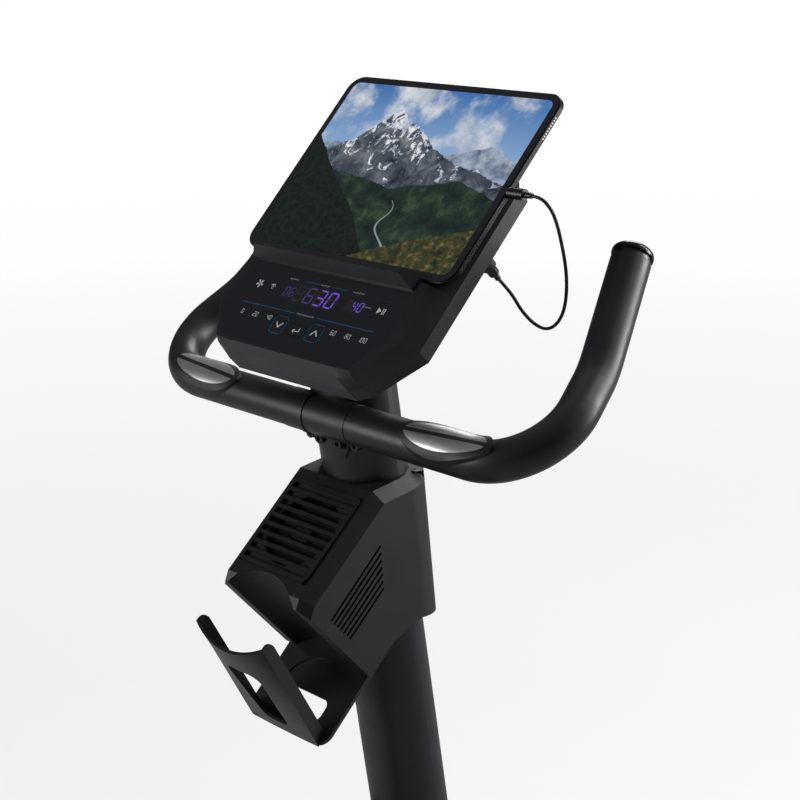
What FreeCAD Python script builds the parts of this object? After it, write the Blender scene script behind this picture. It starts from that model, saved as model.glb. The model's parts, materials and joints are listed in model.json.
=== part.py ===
import FreeCAD, Part
import math
import os
import re

import Sketcher
from FreeCAD import Placement, Rotation, Vector

# Upright exercise bike: a floor frame with a shrouded belt drive, a sliding saddle, and a leaning
# mast that carries a fan housing with a bottle holder, a bent handlebar and a console with a tablet.
# Millimetres. +X is the rider's right, +Y forward, +Z up; the floor is z = 0.

X_AXIS = Vector(1, 0, 0)
Y_AXIS = Vector(0, 1, 0)
Z_AXIS = Vector(0, 0, 1)

SIZES = [
    # alias, millimetres or degrees, meaning
    ("spine_width", 70, "width of the floor beam"),
    ("spine_height", 50, "height of the floor beam"),
    ("spine_bottom", 62, "underside of the floor beam above the floor"),
    ("spine_rear", -545, "rear end of the floor beam"),
    ("spine_front", 505, "front end of the floor beam"),
    ("spine_wall", 3, "wall of the floor beam"),
    ("stabilizer_depth", 60, "front to back size of a stabilizer tube"),
    ("stabilizer_height", 40, "height of a stabilizer tube"),
    ("stabilizer_half", 226, "half the length of a stabilizer tube"),
    ("stabilizer_wall", 2.5, "wall of a stabilizer tube"),
    ("stabilizer_rear", -529, "rear stabilizer centre"),
    ("stabilizer_front", 480, "front stabilizer centre"),
    ("stabilizer_rise", 22, "underside of the stabilizer tubes"),
    ("cap_depth", 66, "front to back size of an end cap"),
    ("cap_height", 66, "height of an end cap"),
    ("cap_length", 44, "length of an end cap"),
    ("wheel_radius", 24, "transport wheel"),
    ("wheel_width", 18, "transport wheel"),
    ("wheel_forward", 538, "transport wheel axle, forward"),
    ("wheel_rise", 30, "transport wheel axle above the floor"),
    ("foot_radius", 24, "levelling foot pad"),
    ("foot_pad", 10, "levelling foot pad thickness"),
    ("foot_stem", 5, "levelling foot stem radius"),
    ("crank_forward", -30, "crank axle, forward"),
    ("crank_rise", 300, "crank axle above the floor"),
    ("axle_radius", 10, "crank axle"),
    ("axle_half", 86, "half the length of the crank axle"),
    ("shell_radius", 25, "crank bearing shell, outside"),
    ("shell_bore", 20, "crank bearing shell, inside"),
    ("shell_half", 34, "half the length of the crank bearing shell"),
    ("arm_length", 170, "crank arm, axle to pedal"),
    ("arm_thickness", 16, "crank arm"),
    ("arm_inner", 70, "inner face of a crank arm"),
    ("pulley_radius", 118, "large belt pulley"),
    ("pulley_width", 14, "belt pulleys"),
    ("belt_plane", 46, "middle of the belt, to the right"),
    ("belt_width", 10, "belt"),
    ("belt_thickness", 3, "belt"),
    ("small_pulley", 14, "belt pulley on the flywheel axle"),
    ("idler_radius", 22, "belt idler"),
    ("idler_forward", 140, "belt idler axle, forward"),
    ("idler_rise", 245, "belt idler axle above the floor"),
    ("flywheel_forward", 230, "flywheel axle, forward"),
    ("flywheel_rise", 290, "flywheel axle above the floor"),
    ("flywheel_radius", 126, "flywheel rim"),
    ("flywheel_width", 38, "flywheel rim"),
    ("flywheel_axle_radius", 6, "flywheel axle"),
    ("bracket_inner", 30, "inner face of a flywheel bracket"),
    ("bracket_thickness", 5, "flywheel bracket"),
    ("bearing_clearance", 0.05, "running clearance on the radius"),
    ("pedal_length", 96, "pedal, front to back"),
    ("pedal_width", 88, "pedal, side to side"),
    ("pedal_height", 26, "pedal"),
    ("spindle_radius", 6, "pedal spindle"),
    ("shroud_half", 65, "half the width of the drive shroud"),
    ("shroud_wall", 3, "wall of the drive shroud"),
    ("seat_tilt", 16, "lean of the seat tube from upright, degrees"),
    ("seat_foot", -100, "seat tube foot, forward"),
    ("seat_tube_radius", 25, "seat tube, outside"),
    ("seat_tube_bore", 22.5, "seat tube, inside"),
    ("seat_tube_length", 545, "seat tube along its axis"),
    ("post_radius", 19, "seat post"),
    ("post_wall", 2.5, "seat post wall"),
    ("post_bottom", 290, "seat post's lower end along the axis"),
    ("post_top", 700, "seat post's upper end along the axis"),
    ("rail_width", 60, "seat slider rail"),
    ("rail_length", 210, "seat slider rail"),
    ("rail_height", 24, "seat slider rail"),
    ("saddle_pad_height", 52, "saddle pad"),
    ("mast_lean", 9.9, "lean of the mast towards the rider, degrees"),
    ("mast_foot", 438.9, "mast axis at the top of the floor beam, forward"),
    ("mast_half_width", 45, "half the width of the oval mast tube"),
    ("mast_half_depth", 36, "half the depth of the oval mast tube"),
    ("mast_wall", 3, "wall of the mast"),
    ("mast_start", 225, "lower end of the mast along its axis"),
    ("neck_start", 924, "lower end of the wide neck along the mast"),
    ("neck_half_width", 47, "half the width of the oval neck"),
    ("neck_half_depth", 36, "half the depth of the oval neck"),
    ("neck_ahead", 6, "neck's centre ahead of the mast axis"),
    ("neck_length", 117, "neck along the mast axis"),
    ("bolt_radius", 3, "clamp bolts"),
    ("bolt_rise", 47, "clamp bolts above the neck's lower end"),
    ("console_forward", 255, "tablet's lower edge, forward"),
    ("console_rise", 1230, "tablet's lower edge above the floor"),
    ("console_recline", 44.56, "recline of the console from upright, degrees"),
    ("tablet_width", 280.6, "tablet"),
    ("tablet_height", 214.9, "tablet"),
    ("tablet_thickness", 6.4, "tablet"),
    ("band_height", 16, "height of the console's side band"),
    ("console_wall", 2.5, "wall of the console shells"),
    ("overlay_thickness", 1, "control overlay"),
    ("bar_radius", 17.5, "handlebar tube"),
    ("bar_wall", 2, "wall of the handlebar tube"),
    ("grip_radius", 18.9, "handlebar grip"),
    ("grip_start", 45, "inner end of a grip from the middle"),
    ("fan_half", 62, "half the width of the fan housing"),
    ("fan_wall", 2.5, "wall of the fan housing"),
    ("grille_width", 94, "fan grille"),
    ("grille_height", 97, "fan grille"),
    ("grille_thickness", 4, "fan grille"),
    ("fan_frame", 88, "fan frame, square"),
    ("fan_depth", 14, "fan frame, front to back"),
    ("rotor_radius", 38, "fan rotor"),
    ("holder_half", 57, "half the width of the bottle holder's floor"),
    ("holder_wall", 3, "wall of the bottle holder"),
    ("lead_radius", 1.6, "charge lead"),
]

doc = FreeCAD.newDocument("ExerciseBike")
sheet = doc.addObject("Spreadsheet::Sheet", "Dimensions")
for row, (alias, size, meaning) in enumerate(SIZES, start=1):
    sheet.set(f"A{row}", meaning)
    sheet.set(f"B{row}", str(size))
    sheet.setAlias(f"B{row}", alias)
doc.recompute()
ALIASES = {alias for alias, size, meaning in SIZES}
NODES = []


class Sheet:
    """Reads a driving dimension from the spreadsheet as a number: d.mast_wall."""

    def __getattr__(self, alias):
        return float(sheet.get(alias))


d = Sheet()


def formula(text):
    """A formula written with bare aliases, with each alias pointed at the sheet."""
    def point(match):
        word = match.group(0)
        return f"Dimensions.{word}" if word in ALIASES else word
    return re.sub(r"[a-z][a-z_]*", point, text)


def bind(target, **formulas):
    """Bind properties to formulas; Base__z stands for Placement.Base.z."""
    for name, text in formulas.items():
        path = name.replace("Base__", "Placement.Base.").replace("Lift__", "AttachmentOffset.Base.")
        target.setExpression(path, formula(text))


# ---- frames of the sub-assemblies -------------------------------------------------------------

SPINE_TOP = d.spine_bottom + d.spine_height
UPRIGHT = Placement()
TABLET_EDGE = Vector(0, d.console_forward, d.console_rise)
HEAD = Placement(TABLET_EDGE, Rotation())
CONSOLE = Placement(TABLET_EDGE, Rotation(X_AXIS, 90 - d.console_recline))
MAST = Placement(Vector(0, d.mast_foot, SPINE_TOP), Rotation(X_AXIS, d.mast_lean))
SEAT = Placement(Vector(0, d.seat_foot, SPINE_TOP), Rotation(X_AXIS, d.seat_tilt))
CRANK = Placement(Vector(0, d.crank_forward, d.crank_rise), Rotation())
FLYWHEEL = Placement(Vector(0, d.flywheel_forward, d.flywheel_rise), Rotation())
IDLER = Placement(Vector(0, d.idler_forward, d.idler_rise), Rotation())
GRILLE_CENTRE = Vector(0, -54, -245)
GRILLE_TILT = 40.7
GRILLE = Placement(TABLET_EDGE + GRILLE_CENTRE, Rotation(X_AXIS, GRILLE_TILT))
HOLDER_CORNER = Vector(0, -21, -388)
HOLDER_TILT = 42.7
HOLDER = Placement(TABLET_EDGE + HOLDER_CORNER, Rotation(X_AXIS, HOLDER_TILT))


# ---- sketch and feature helpers ---------------------------------------------------------------

def new_body(name, placement=UPRIGHT):
    body = doc.addObject("PartDesign::Body", name)
    body.Label = name
    body.Placement = placement
    NODES.append(body)
    return body


def sketch(body, plane="XY_Plane", lift=None, offset=None):
    """A sketch on one of the body's origin planes, lifted along its normal by a formula."""
    item = body.newObject("Sketcher::SketchObject", f"{body.Name}_sketch")
    support = next(f for f in body.Origin.OriginFeatures if f.Role == plane)
    item.AttachmentSupport = [(support, "")]
    item.MapMode = "FlatFace"
    if offset:
        item.AttachmentOffset = offset
    if lift:
        bind(item, Lift__z=lift)
    return item


def circle(item, radius, centre=(0, 0)):
    """A circle whose radius is bound to a formula."""
    index = item.addGeometry(Part.Circle(Vector(*centre, 0), Z_AXIS, 10), False)
    if centre == (0, 0):
        item.addConstraint(Sketcher.Constraint("Coincident", index, 3, -1, 1))
    else:
        item.addConstraint(Sketcher.Constraint("DistanceX", index, 3, centre[0]))
        item.addConstraint(Sketcher.Constraint("DistanceY", index, 3, centre[1]))
    number = item.addConstraint(Sketcher.Constraint("Radius", index, 10))
    item.setExpression(f"Constraints[{number}]", formula(radius))
    return item


def rectangle(item, width, height):
    """A rectangle centred on the sketch origin, its sides bound to formulas."""
    corners = [Vector(-10, -8, 0), Vector(10, -8, 0), Vector(10, 8, 0), Vector(-10, 8, 0)]
    first = item.GeometryCount
    for k in range(4):
        item.addGeometry(Part.LineSegment(corners[k], corners[(k + 1) % 4]), False)
    for k in range(4):
        after = first + (k + 1) % 4
        item.addConstraint(Sketcher.Constraint("Coincident", first + k, 2, after, 1))
        item.addConstraint(Sketcher.Constraint(("Horizontal", "Vertical")[k % 2], first + k))
    item.addConstraint(Sketcher.Constraint("Symmetric", first, 1, first + 2, 1, -1, 1))
    across = item.addConstraint(Sketcher.Constraint("DistanceX", first, 1, first, 2, 20))
    upward = item.addConstraint(Sketcher.Constraint("DistanceY", first + 1, 1, first + 1, 2, 16))
    item.setExpression(f"Constraints[{across}]", formula(width))
    item.setExpression(f"Constraints[{upward}]", formula(height))
    return item


def outline(points, radius=0.0):
    """Line and arc geometry of a closed polygon; radius rounds every corner, or is one per corner."""
    count = len(points)
    radii = radius if isinstance(radius, (list, tuple)) else [radius] * count
    corners = [Vector(*p, 0) for p in points]
    starts, ends, arcs = [], [], []
    for k, corner in enumerate(corners):
        into = (corner - corners[k - 1]).normalize()
        away = (corners[(k + 1) % count] - corner).normalize()
        turn = into.getAngle(away)
        if radii[k] < 0.01 or turn < 0.001:
            starts.append(corner)
            ends.append(corner)
            continue
        reach = radii[k] * math.tan(turn / 2)
        start, end = corner - into * reach, corner + away * reach
        side = 1 if into.cross(away).z > 0 else -1
        centre = start + Vector(-into.y, into.x, 0) * (side * radii[k])
        angles = [math.atan2((p - centre).y, (p - centre).x) for p in (start, end)]
        if side < 0:
            angles.reverse()
        if angles[1] < angles[0]:
            angles[1] += 2 * math.pi
        arcs.append(Part.ArcOfCircle(Part.Circle(centre, Z_AXIS, radii[k]), *angles))
        starts.append(start)
        ends.append(end)
    lines = [
        Part.LineSegment(ends[k], starts[(k + 1) % count])
        for k in range(count)
        if ends[k].distanceToPoint(starts[(k + 1) % count]) > 0.001
    ]
    return lines + arcs


def draw(item, points, radius=0.0):
    item.addGeometry(outline(points, radius), False)
    return item


def ellipse(item, half_width, half_depth):
    """An ellipse about the sketch origin, wider along the sketch's x."""
    item.addGeometry(Part.Ellipse(Vector(half_width, 0, 0), Vector(0, half_depth, 0), Vector(0, 0, 0)), False)
    return item


def feature(body, kind, profile, length=None, both=False, back=False, through=False):
    item = body.newObject(f"PartDesign::{kind}", f"{body.Name}_{kind.lower()}")
    item.Profile = profile
    profile.Visibility = False
    if both:
        item.SideType = "Symmetric"
    if through:
        item.Type = "ThroughAll"
    if length:
        bind(item, Length=length)
    item.Reversed = back
    return item


def pad(body, profile, length, both=False, back=False):
    return feature(body, "Pad", profile, length, both, back)


def pocket(body, profile, length=None, both=False, back=False):
    """A cut; the body's volume is compared so that a cut that misses is an error."""
    doc.recompute()
    before = body.Shape.Volume
    item = feature(body, "Pocket", profile, length, both, back, through=length is None)
    doc.recompute()
    if body.Shape.Volume > before - 0.01:
        raise ValueError(f"{body.Name}: a pocket cuts nothing")
    return item


def loft(body, kind, sections, ruled=True):
    """kind is AdditiveLoft or SubtractiveLoft; sections are sketches in order."""
    item = body.newObject(f"PartDesign::{kind}", f"{body.Name}_{kind.lower()}")
    item.Profile = sections[0]
    item.Sections = sections[1:]
    item.Ruled = ruled
    return item


def revolve(body, points, plane="XZ_Plane", axis="V_Axis", radius=0.0):
    """A solid of revolution: points are (distance from the axis, height) for V_Axis."""
    profile = draw(sketch(body, plane), points, radius)
    item = body.newObject("PartDesign::Revolution", f"{body.Name}_revolution")
    item.Profile = profile
    item.ReferenceAxis = (profile, [axis])
    item.Angle = 360
    return item


def polar(body, original, count, axis="Z_Axis"):
    item = body.newObject("PartDesign::PolarPattern", f"{body.Name}_pattern")
    item.Originals = [original]
    item.Axis = (next(f for f in body.Origin.OriginFeatures if f.Role == axis), [""])
    item.Angle = 360
    item.Occurrences = count
    body.Tip = item
    return item


def linear(body, original, count, length, axis="Y_Axis", back=False):
    item = body.newObject("PartDesign::LinearPattern", f"{body.Name}_pattern")
    item.Originals = [original]
    item.Direction = (next(f for f in body.Origin.OriginFeatures if f.Role == axis), [""])
    item.Length = length
    item.Occurrences = count
    item.Reversed = back
    body.Tip = item
    return item


def dress(body, kind, size, wanted):
    """A Fillet or Chamfer on the edges of the body so far that wanted(edge) picks."""
    doc.recompute()
    base = body.Tip
    names = [f"Edge{k}" for k, edge in enumerate(base.Shape.Edges, start=1) if wanted(edge)]
    if not names:
        raise ValueError(f"{body.Name}: no edge to {kind.lower()}")
    item = body.newObject(f"PartDesign::{kind}", f"{body.Name}_{kind.lower()}")
    item.Base = (base, names)
    if kind == "Fillet":
        item.Radius = size
    else:
        item.Size = size
    doc.recompute()
    return item


def solid(kind, name, **formulas):
    """A Part primitive whose sizes and place are bound to formulas."""
    item = doc.addObject(f"Part::{kind}", name)
    bind(item, **formulas)
    return item


def combine(kind, name, items):
    """A Part boolean: MultiFuse of all, or Cut of the first by the second."""
    item = doc.addObject(f"Part::{kind}", name)
    if kind == "Cut":
        item.Base, item.Tool = items
    else:
        item.Shapes = items
    return item


def turned(item, axis, angle):
    item.Placement.Rotation = Rotation(axis, angle)
    return item


def node(item, name):
    item.Label = name
    NODES.append(item)
    return item


def shaped(name, shape, placement=UPRIGHT):
    """A sub-part whose shape is computed from the sheet's sizes."""
    item = doc.addObject("Part::Feature", name)
    item.Label = name
    item.Shape = shape
    item.Placement = placement
    NODES.append(item)
    return item


def prism(points, low, high, plane="XY", radius=0.0):
    """A straight solid on a polygon, between two distances along the plane's normal."""
    face = Part.Face(Part.Wire(Part.__sortEdges__([g.toShape() for g in outline(points, radius)])))
    block = face.extrude(Vector(0, 0, high - low))
    block.translate(Vector(0, 0, low))
    if plane == "YZ":
        block.Placement = Placement(Vector(), Rotation(Vector(1, 1, 1), 120)).multiply(block.Placement)
    return block


def rod(radius, start, end):
    """A round bar between two points."""
    return Part.makeCylinder(radius, (end - start).Length, start, end - start)


def mirrored(right):
    """A closed symmetric outline from the points of its right half, bottom to top."""
    return right + [(-x, y) for x, y in reversed(right)]


def path_wire(points, radii):
    """Straight runs joined by tangent arcs, one radius for each inner point."""
    edges, last = [], points[0]
    for k, radius in enumerate(radii, start=1):
        into = (points[k] - points[k - 1]).normalize()
        away = (points[k + 1] - points[k]).normalize()
        reach = radius * math.tan(into.getAngle(away) / 2)
        start, end = points[k] - into * reach, points[k] + away * reach
        centre = start + (away - into * into.dot(away)).normalize() * radius
        middle = centre + ((start + end) * 0.5 - centre).normalize() * radius
        if last.distanceToPoint(start) > 1e-4:
            edges.append(Part.makeLine(last, start))
        edges.append(Part.Arc(start, middle, end).toShape())
        last = end
    edges.append(Part.makeLine(last, points[-1]))
    return Part.Wire(edges)


def tube_along(wire, outer, inner=0.0):
    """A round tube, or a round bar, swept along a wire of tangent runs and arcs."""
    first = wire.Edges[0]
    start, tangent = first.valueAt(first.FirstParameter), first.tangentAt(first.FirstParameter)

    def sweep(radius):
        ring = Part.Wire(Part.makeCircle(radius, start, tangent))
        return wire.makePipeShell([ring], True, True)

    return sweep(outer).cut(sweep(inner)) if inner else sweep(outer)


# ---- floor frame ------------------------------------------------------------------------------

def make_spine():
    outer = solid("Box", "spine_outer", Length="spine_width", Width="spine_front - spine_rear",
                  Height="spine_height", Base__x="-spine_width / 2", Base__y="spine_rear",
                  Base__z="spine_bottom")
    inner = solid("Box", "spine_inner", Length="spine_width - 2 * spine_wall",
                  Width="spine_front - spine_rear - 2 * spine_wall",
                  Height="spine_height - 2 * spine_wall", Base__x="spine_wall - spine_width / 2",
                  Base__y="spine_rear + spine_wall", Base__z="spine_bottom + spine_wall")
    return combine("Cut", "spine", [outer, inner])


def make_mast_socket():
    """An oval stub on the floor beam with a smaller spigot that the mast slides over."""
    body = doc.addObject("PartDesign::Body", "mast_socket")
    body.Placement = MAST
    outer = ellipse(sketch(body), d.mast_half_width, d.mast_half_depth)
    pad(body, outer, "mast_start")
    spigot = ellipse(sketch(body), d.mast_half_width - d.mast_wall, d.mast_half_depth - d.mast_wall)
    pad(body, spigot, "mast_start + 80")
    hollow = ellipse(sketch(body, lift="mast_wall"), d.mast_half_width - 6, d.mast_half_depth - 6)
    pocket(body, hollow, back=True)
    return body


def make_seat_tube():
    body = doc.addObject("PartDesign::Body", "seat_tube")
    body.Placement = SEAT
    pad(body, circle(sketch(body, lift="-8"), "seat_tube_radius"), "seat_tube_length + 8")
    boss = sketch(body, "XZ_Plane", offset=Placement(Vector(0, d.seat_tube_length - 23, 0), Rotation()))
    pad(body, circle(boss, "12"), "40")
    pocket(body, circle(sketch(body, lift="10"), "seat_tube_bore"), back=True)
    pin = sketch(body, "XZ_Plane", offset=Placement(Vector(0, d.seat_tube_length - 23, 0), Rotation()))
    pocket(body, circle(pin, "5 + bearing_clearance"), back=True)
    return body


def make_brackets():
    """Two plates on the floor beam that carry the flywheel, the brake arm and the brake motor."""
    profile = [(150, 108), (290, 108), (262, 300), (232, 455), (130, 455), (130, 398), (190, 380), (192, 300)]
    plates = []
    for name, start in (("bracket_left", -d.bracket_inner - d.bracket_thickness),
                        ("bracket_right", d.bracket_inner)):
        body = doc.addObject("PartDesign::Body", name)
        face = draw(sketch(body, "YZ_Plane"), profile, 6)
        face.AttachmentOffset = Placement(Vector(0, 0, start), Rotation())
        pad(body, face, "bracket_thickness")
        bore = circle(sketch(body, "YZ_Plane"), "14", (d.flywheel_forward, d.flywheel_rise))
        pocket(body, bore, both=True)
        plates.append(body)
    return plates


def make_base_frame():
    shell = solid("Cylinder", "crank_shell", Radius="shell_radius", Height="2 * shell_half",
                  Base__x="-shell_half", Base__y="crank_forward", Base__z="crank_rise")
    turned(shell, Y_AXIS, 90)
    post = solid("Box", "column_outer", Length="40", Width="40", Height="crank_rise - spine_bottom - 67",
                 Base__x="-20", Base__y="crank_forward - 20", Base__z="spine_bottom + spine_height - 3")
    void = solid("Box", "column_inner", Length="34", Width="34", Height="crank_rise - spine_bottom - 76",
                 Base__x="-17", Base__y="crank_forward - 17", Base__z="spine_bottom + spine_height")
    column = combine("Cut", "crank_column", [post, void])
    gusset = solid("Box", "crank_gusset", Length="6", Width="130", Height="36", Base__x="-3",
                   Base__y="crank_forward - 134", Base__z="crank_rise - 18")
    brake_pin = solid("Cylinder", "brake_pin", Radius="5", Height="2 * bracket_inner + 2",
                      Base__x="-bracket_inner - 1", Base__y="207", Base__z="438")
    turned(brake_pin, Y_AXIS, 90)
    whole = combine("MultiFuse", "frame_metal", [make_spine(), make_mast_socket(), make_seat_tube(), shell,
                                                 column, gusset, brake_pin] + make_brackets())
    bore = solid("Cylinder", "crank_shell_bore", Radius="shell_bore", Height="2 * shell_half + 2",
                 Base__x="-shell_half - 1", Base__y="crank_forward", Base__z="crank_rise")
    turned(bore, Y_AXIS, 90)
    tube_bore = solid("Cylinder", "seat_tube_hollow", Radius="seat_tube_bore", Height="seat_tube_length")
    tube_bore.Placement = SEAT.multiply(Placement(Vector(0, 0, 10), Rotation()))
    bores = combine("MultiFuse", "frame_bores", [bore, tube_bore])
    node(combine("Cut", "frame", [whole, bores]), "base_frame")


def make_stabilizer(name, forward, feet=False):
    outer = solid("Box", f"{name}_outer", Length="2 * stabilizer_half", Width="stabilizer_depth",
                  Height="stabilizer_height", Base__x="-stabilizer_half",
                  Base__y=f"{forward} - stabilizer_depth / 2", Base__z="stabilizer_rise")
    tools = [solid("Box", f"{name}_inner", Length="2 * stabilizer_half",
                   Width="stabilizer_depth - 2 * stabilizer_wall",
                   Height="stabilizer_height - 2 * stabilizer_wall", Base__x="-stabilizer_half",
                   Base__y=f"{forward} - stabilizer_depth / 2 + stabilizer_wall",
                   Base__z="stabilizer_rise + stabilizer_wall")]
    if feet:
        for side, away in (("left", "-"), ("right", "")):
            tools.append(solid("Cylinder", f"{name}_nut_{side}", Radius="foot_stem + bearing_clearance",
                               Height="stabilizer_wall + 4", Base__x=f"{away}(stabilizer_half - 40)",
                               Base__y=forward, Base__z="stabilizer_rise - 2"))
    tool = combine("MultiFuse", f"{name}_tools", tools) if feet else tools[0]
    node(combine("Cut", name, [outer, tool]), name)


def end_cap(side, forward, low, wheels):
    """A moulded cup over a tube end; the front ones also carry a wheel between two lugs."""
    half = d.stabilizer_half
    height = d.cap_height - low
    cup = Part.makeBox(d.cap_length, d.cap_depth, height, Vector(half - 10, forward - d.cap_depth / 2, low))
    uprights = [e for e in cup.Edges if abs(e.tangentAt(0).z) > 0.9 and e.CenterOfMass.x > half]
    cup = cup.makeFillet(14, uprights)
    top = [e for e in cup.Edges if e.CenterOfMass.z > d.cap_height - 0.1 and e.CenterOfMass.x > half - 9]
    cup = cup.makeFillet(5, top)
    tube = Part.makeBox(10, d.stabilizer_depth, d.stabilizer_height,
                        Vector(half - 10, forward - d.stabilizer_depth / 2, d.stabilizer_rise))
    hollow = Part.makeBox(12, d.cap_depth - 12, height - 12,
                          Vector(half, forward - d.cap_depth / 2 + 6, low + 6))
    cup = cup.cut(tube).cut(hollow)
    if wheels:
        middle = half + 18
        reach = d.wheel_width / 2 + 0.5
        profile = [(forward + 20, 12), (d.wheel_forward, 16), (d.wheel_forward + 12, d.wheel_rise),
                   (d.wheel_forward, 44), (forward + 20, 58)]
        for start in (middle - reach - 6, middle + reach):
            cup = cup.fuse(prism(profile, start, start + 6, "YZ", 4))
        hub = Vector(middle, d.wheel_forward, d.wheel_rise)
        slot = Part.makeCylinder(d.wheel_radius + 3, 2 * reach, hub - X_AXIS * reach, X_AXIS)
        pin = rod(5, hub - X_AXIS * (reach + 3), hub + X_AXIS * (reach + 3))
        cup = cup.cut(slot).fuse(pin)
    return cup if side > 0 else cup.mirror(Vector(), X_AXIS)


def make_end_caps():
    caps = [end_cap(side, d.stabilizer_front, 0, True) for side in (-1, 1)]
    caps += [end_cap(side, d.stabilizer_rear, 8, False) for side in (-1, 1)]
    shaped("stabilizer_end_caps", Part.makeCompound(caps))


def make_wheel(name, side):
    centre = Vector(side * (d.stabilizer_half + 18), d.wheel_forward, d.wheel_rise)
    body = new_body(name, Placement(centre, Rotation(Y_AXIS, 90)))
    half = d.wheel_width / 2
    bore = 5 + d.bearing_clearance
    revolve(body, [(bore, -half), (12, -half), (12, -half + 2), (19, -half + 2), (19, -half),
                   (d.wheel_radius, -half), (d.wheel_radius, half), (19, half), (19, half - 2),
                   (12, half - 2), (12, half), (bore, half)])
    dress(body, "Fillet", 2.5, lambda e: abs(e.BoundBox.XLength - 2 * d.wheel_radius) < 0.1)


def make_levelling_foot(name, side):
    centre = Vector(side * (d.stabilizer_half - 40), d.stabilizer_rear, 0)
    body = new_body(name, Placement(centre, Rotation()))
    pad_radius, stem = d.foot_radius, d.foot_stem
    revolve(body, [(0, 0), (pad_radius, 0), (pad_radius, d.foot_pad - 5), (pad_radius - 5, d.foot_pad),
                   (stem, d.foot_pad), (stem, 48), (0, 48)])


# ---- drive ------------------------------------------------------------------------------------

ALONG_X = Rotation(Vector(1, 1, 1), 120)


def around_x(frame, x=0.0):
    """A placement at a frame's centre whose local z is the rider's right."""
    return frame.multiply(Placement(Vector(x, 0, 0), ALONG_X))


def make_crank_axle():
    body = new_body("crank_axle", around_x(CRANK))
    pad(body, circle(sketch(body), "axle_radius"), "2 * axle_half", both=True)
    dress(body, "Chamfer", 1, lambda e: e.BoundBox.ZLength < 0.1)


def ring(outer, inner, x, width, frame):
    """A bearing ring about a frame's x axis."""
    band = Part.makeCylinder(outer, width, Vector(x, 0, 0), X_AXIS)
    band = band.cut(Part.makeCylinder(inner, width, Vector(x, 0, 0), X_AXIS))
    band.Placement = frame
    return band


def make_bearings():
    crank_bore = d.axle_radius + d.bearing_clearance
    wheel_bore = d.flywheel_axle_radius + d.bearing_clearance
    end = d.shell_half
    side = d.bracket_inner
    shaped("bearings", Part.makeCompound([
        ring(d.shell_bore, crank_bore, -end, 12, CRANK),
        ring(d.shell_bore, crank_bore, end - 12, 12, CRANK),
        ring(14, wheel_bore, -side - d.bracket_thickness, d.bracket_thickness, FLYWHEEL),
        ring(14, wheel_bore, side, d.bracket_thickness, FLYWHEEL),
    ]))


def make_drive_pulley():
    body = new_body("drive_pulley", around_x(CRANK, d.belt_plane))
    half, rim, bore = d.pulley_width / 2, d.pulley_radius, d.axle_radius
    revolve(body, [(bore, -half), (24, -half), (24, -3), (rim - 12, -3), (rim - 12, -half), (rim, -half),
                   (rim, half), (rim - 12, half), (rim - 12, 3), (24, 3), (24, half), (bore, half)])
    window = circle(sketch(body), "19", (64, 0))
    cut = pocket(body, window, both=True)
    polar(body, cut, 6)


def make_crank_arm(name, side, angle):
    frame = CRANK.multiply(Placement(Vector(side * d.arm_inner, 0, 0), Rotation(X_AXIS, angle)))
    body = new_body(name, frame.multiply(Placement(Vector(), ALONG_X)))
    reach = d.arm_length
    blade = [(-17, -17), (17, -17), (13, 40), (13, reach + 15), (-13, reach + 15), (-13, 40)]
    blade = [(y, -x) for x, y in blade]
    pad(body, draw(sketch(body), blade, [13, 13, 30, 9, 9, 30]), "arm_thickness", back=side < 0)
    outer = side * d.arm_thickness
    dress(body, "Chamfer", 2, lambda e: abs(e.BoundBox.ZMin - outer) < 0.01 and e.BoundBox.ZLength < 0.01)
    pocket(body, circle(sketch(body), "axle_radius"), both=True)
    pocket(body, circle(sketch(body), "spindle_radius", (reach, 0)), both=True)


def pedal_centre(side, angle):
    turn = math.radians(angle)
    outward = d.arm_inner + d.arm_thickness + 56
    return Vector(side * outward, d.crank_forward + d.arm_length * math.cos(turn),
                  d.crank_rise + d.arm_length * math.sin(turn))


RIGHT_CRANK = -35
LEFT_CRANK = 145
PEDALS = {1: pedal_centre(1, RIGHT_CRANK), -1: pedal_centre(-1, LEFT_CRANK)}


def make_pedal_spindles():
    bars = []
    for side, centre in PEDALS.items():
        inner = Vector(side * d.arm_inner, centre.y, centre.z)
        collar = inner + X_AXIS * (side * d.arm_thickness)
        outer = Vector(centre.x + side * 38, centre.y, centre.z)
        bars.append(rod(d.spindle_radius, inner, outer).fuse(rod(9, collar, collar + X_AXIS * (side * 6))))
    shaped("pedal_spindles", Part.makeCompound(bars))


def make_pedal(name, side):
    body = new_body(name, Placement(PEDALS[side], Rotation()))
    pad(body, rectangle(sketch(body), "pedal_width", "pedal_length"), "pedal_height", both=True)
    dress(body, "Fillet", 12, lambda e: e.BoundBox.ZLength > 20)
    for y in (-26.0, 26.0):
        window = draw(sketch(body), [(-32, y - 12), (32, y - 12), (32, y + 12), (-32, y + 12)], 5)
        pocket(body, window, both=True)
    bore = sketch(body, "YZ_Plane", offset=Placement(Vector(0, 0, -side * 44), Rotation()))
    pocket(body, circle(bore, "spindle_radius + bearing_clearance"), "84", back=side > 0)


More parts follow.
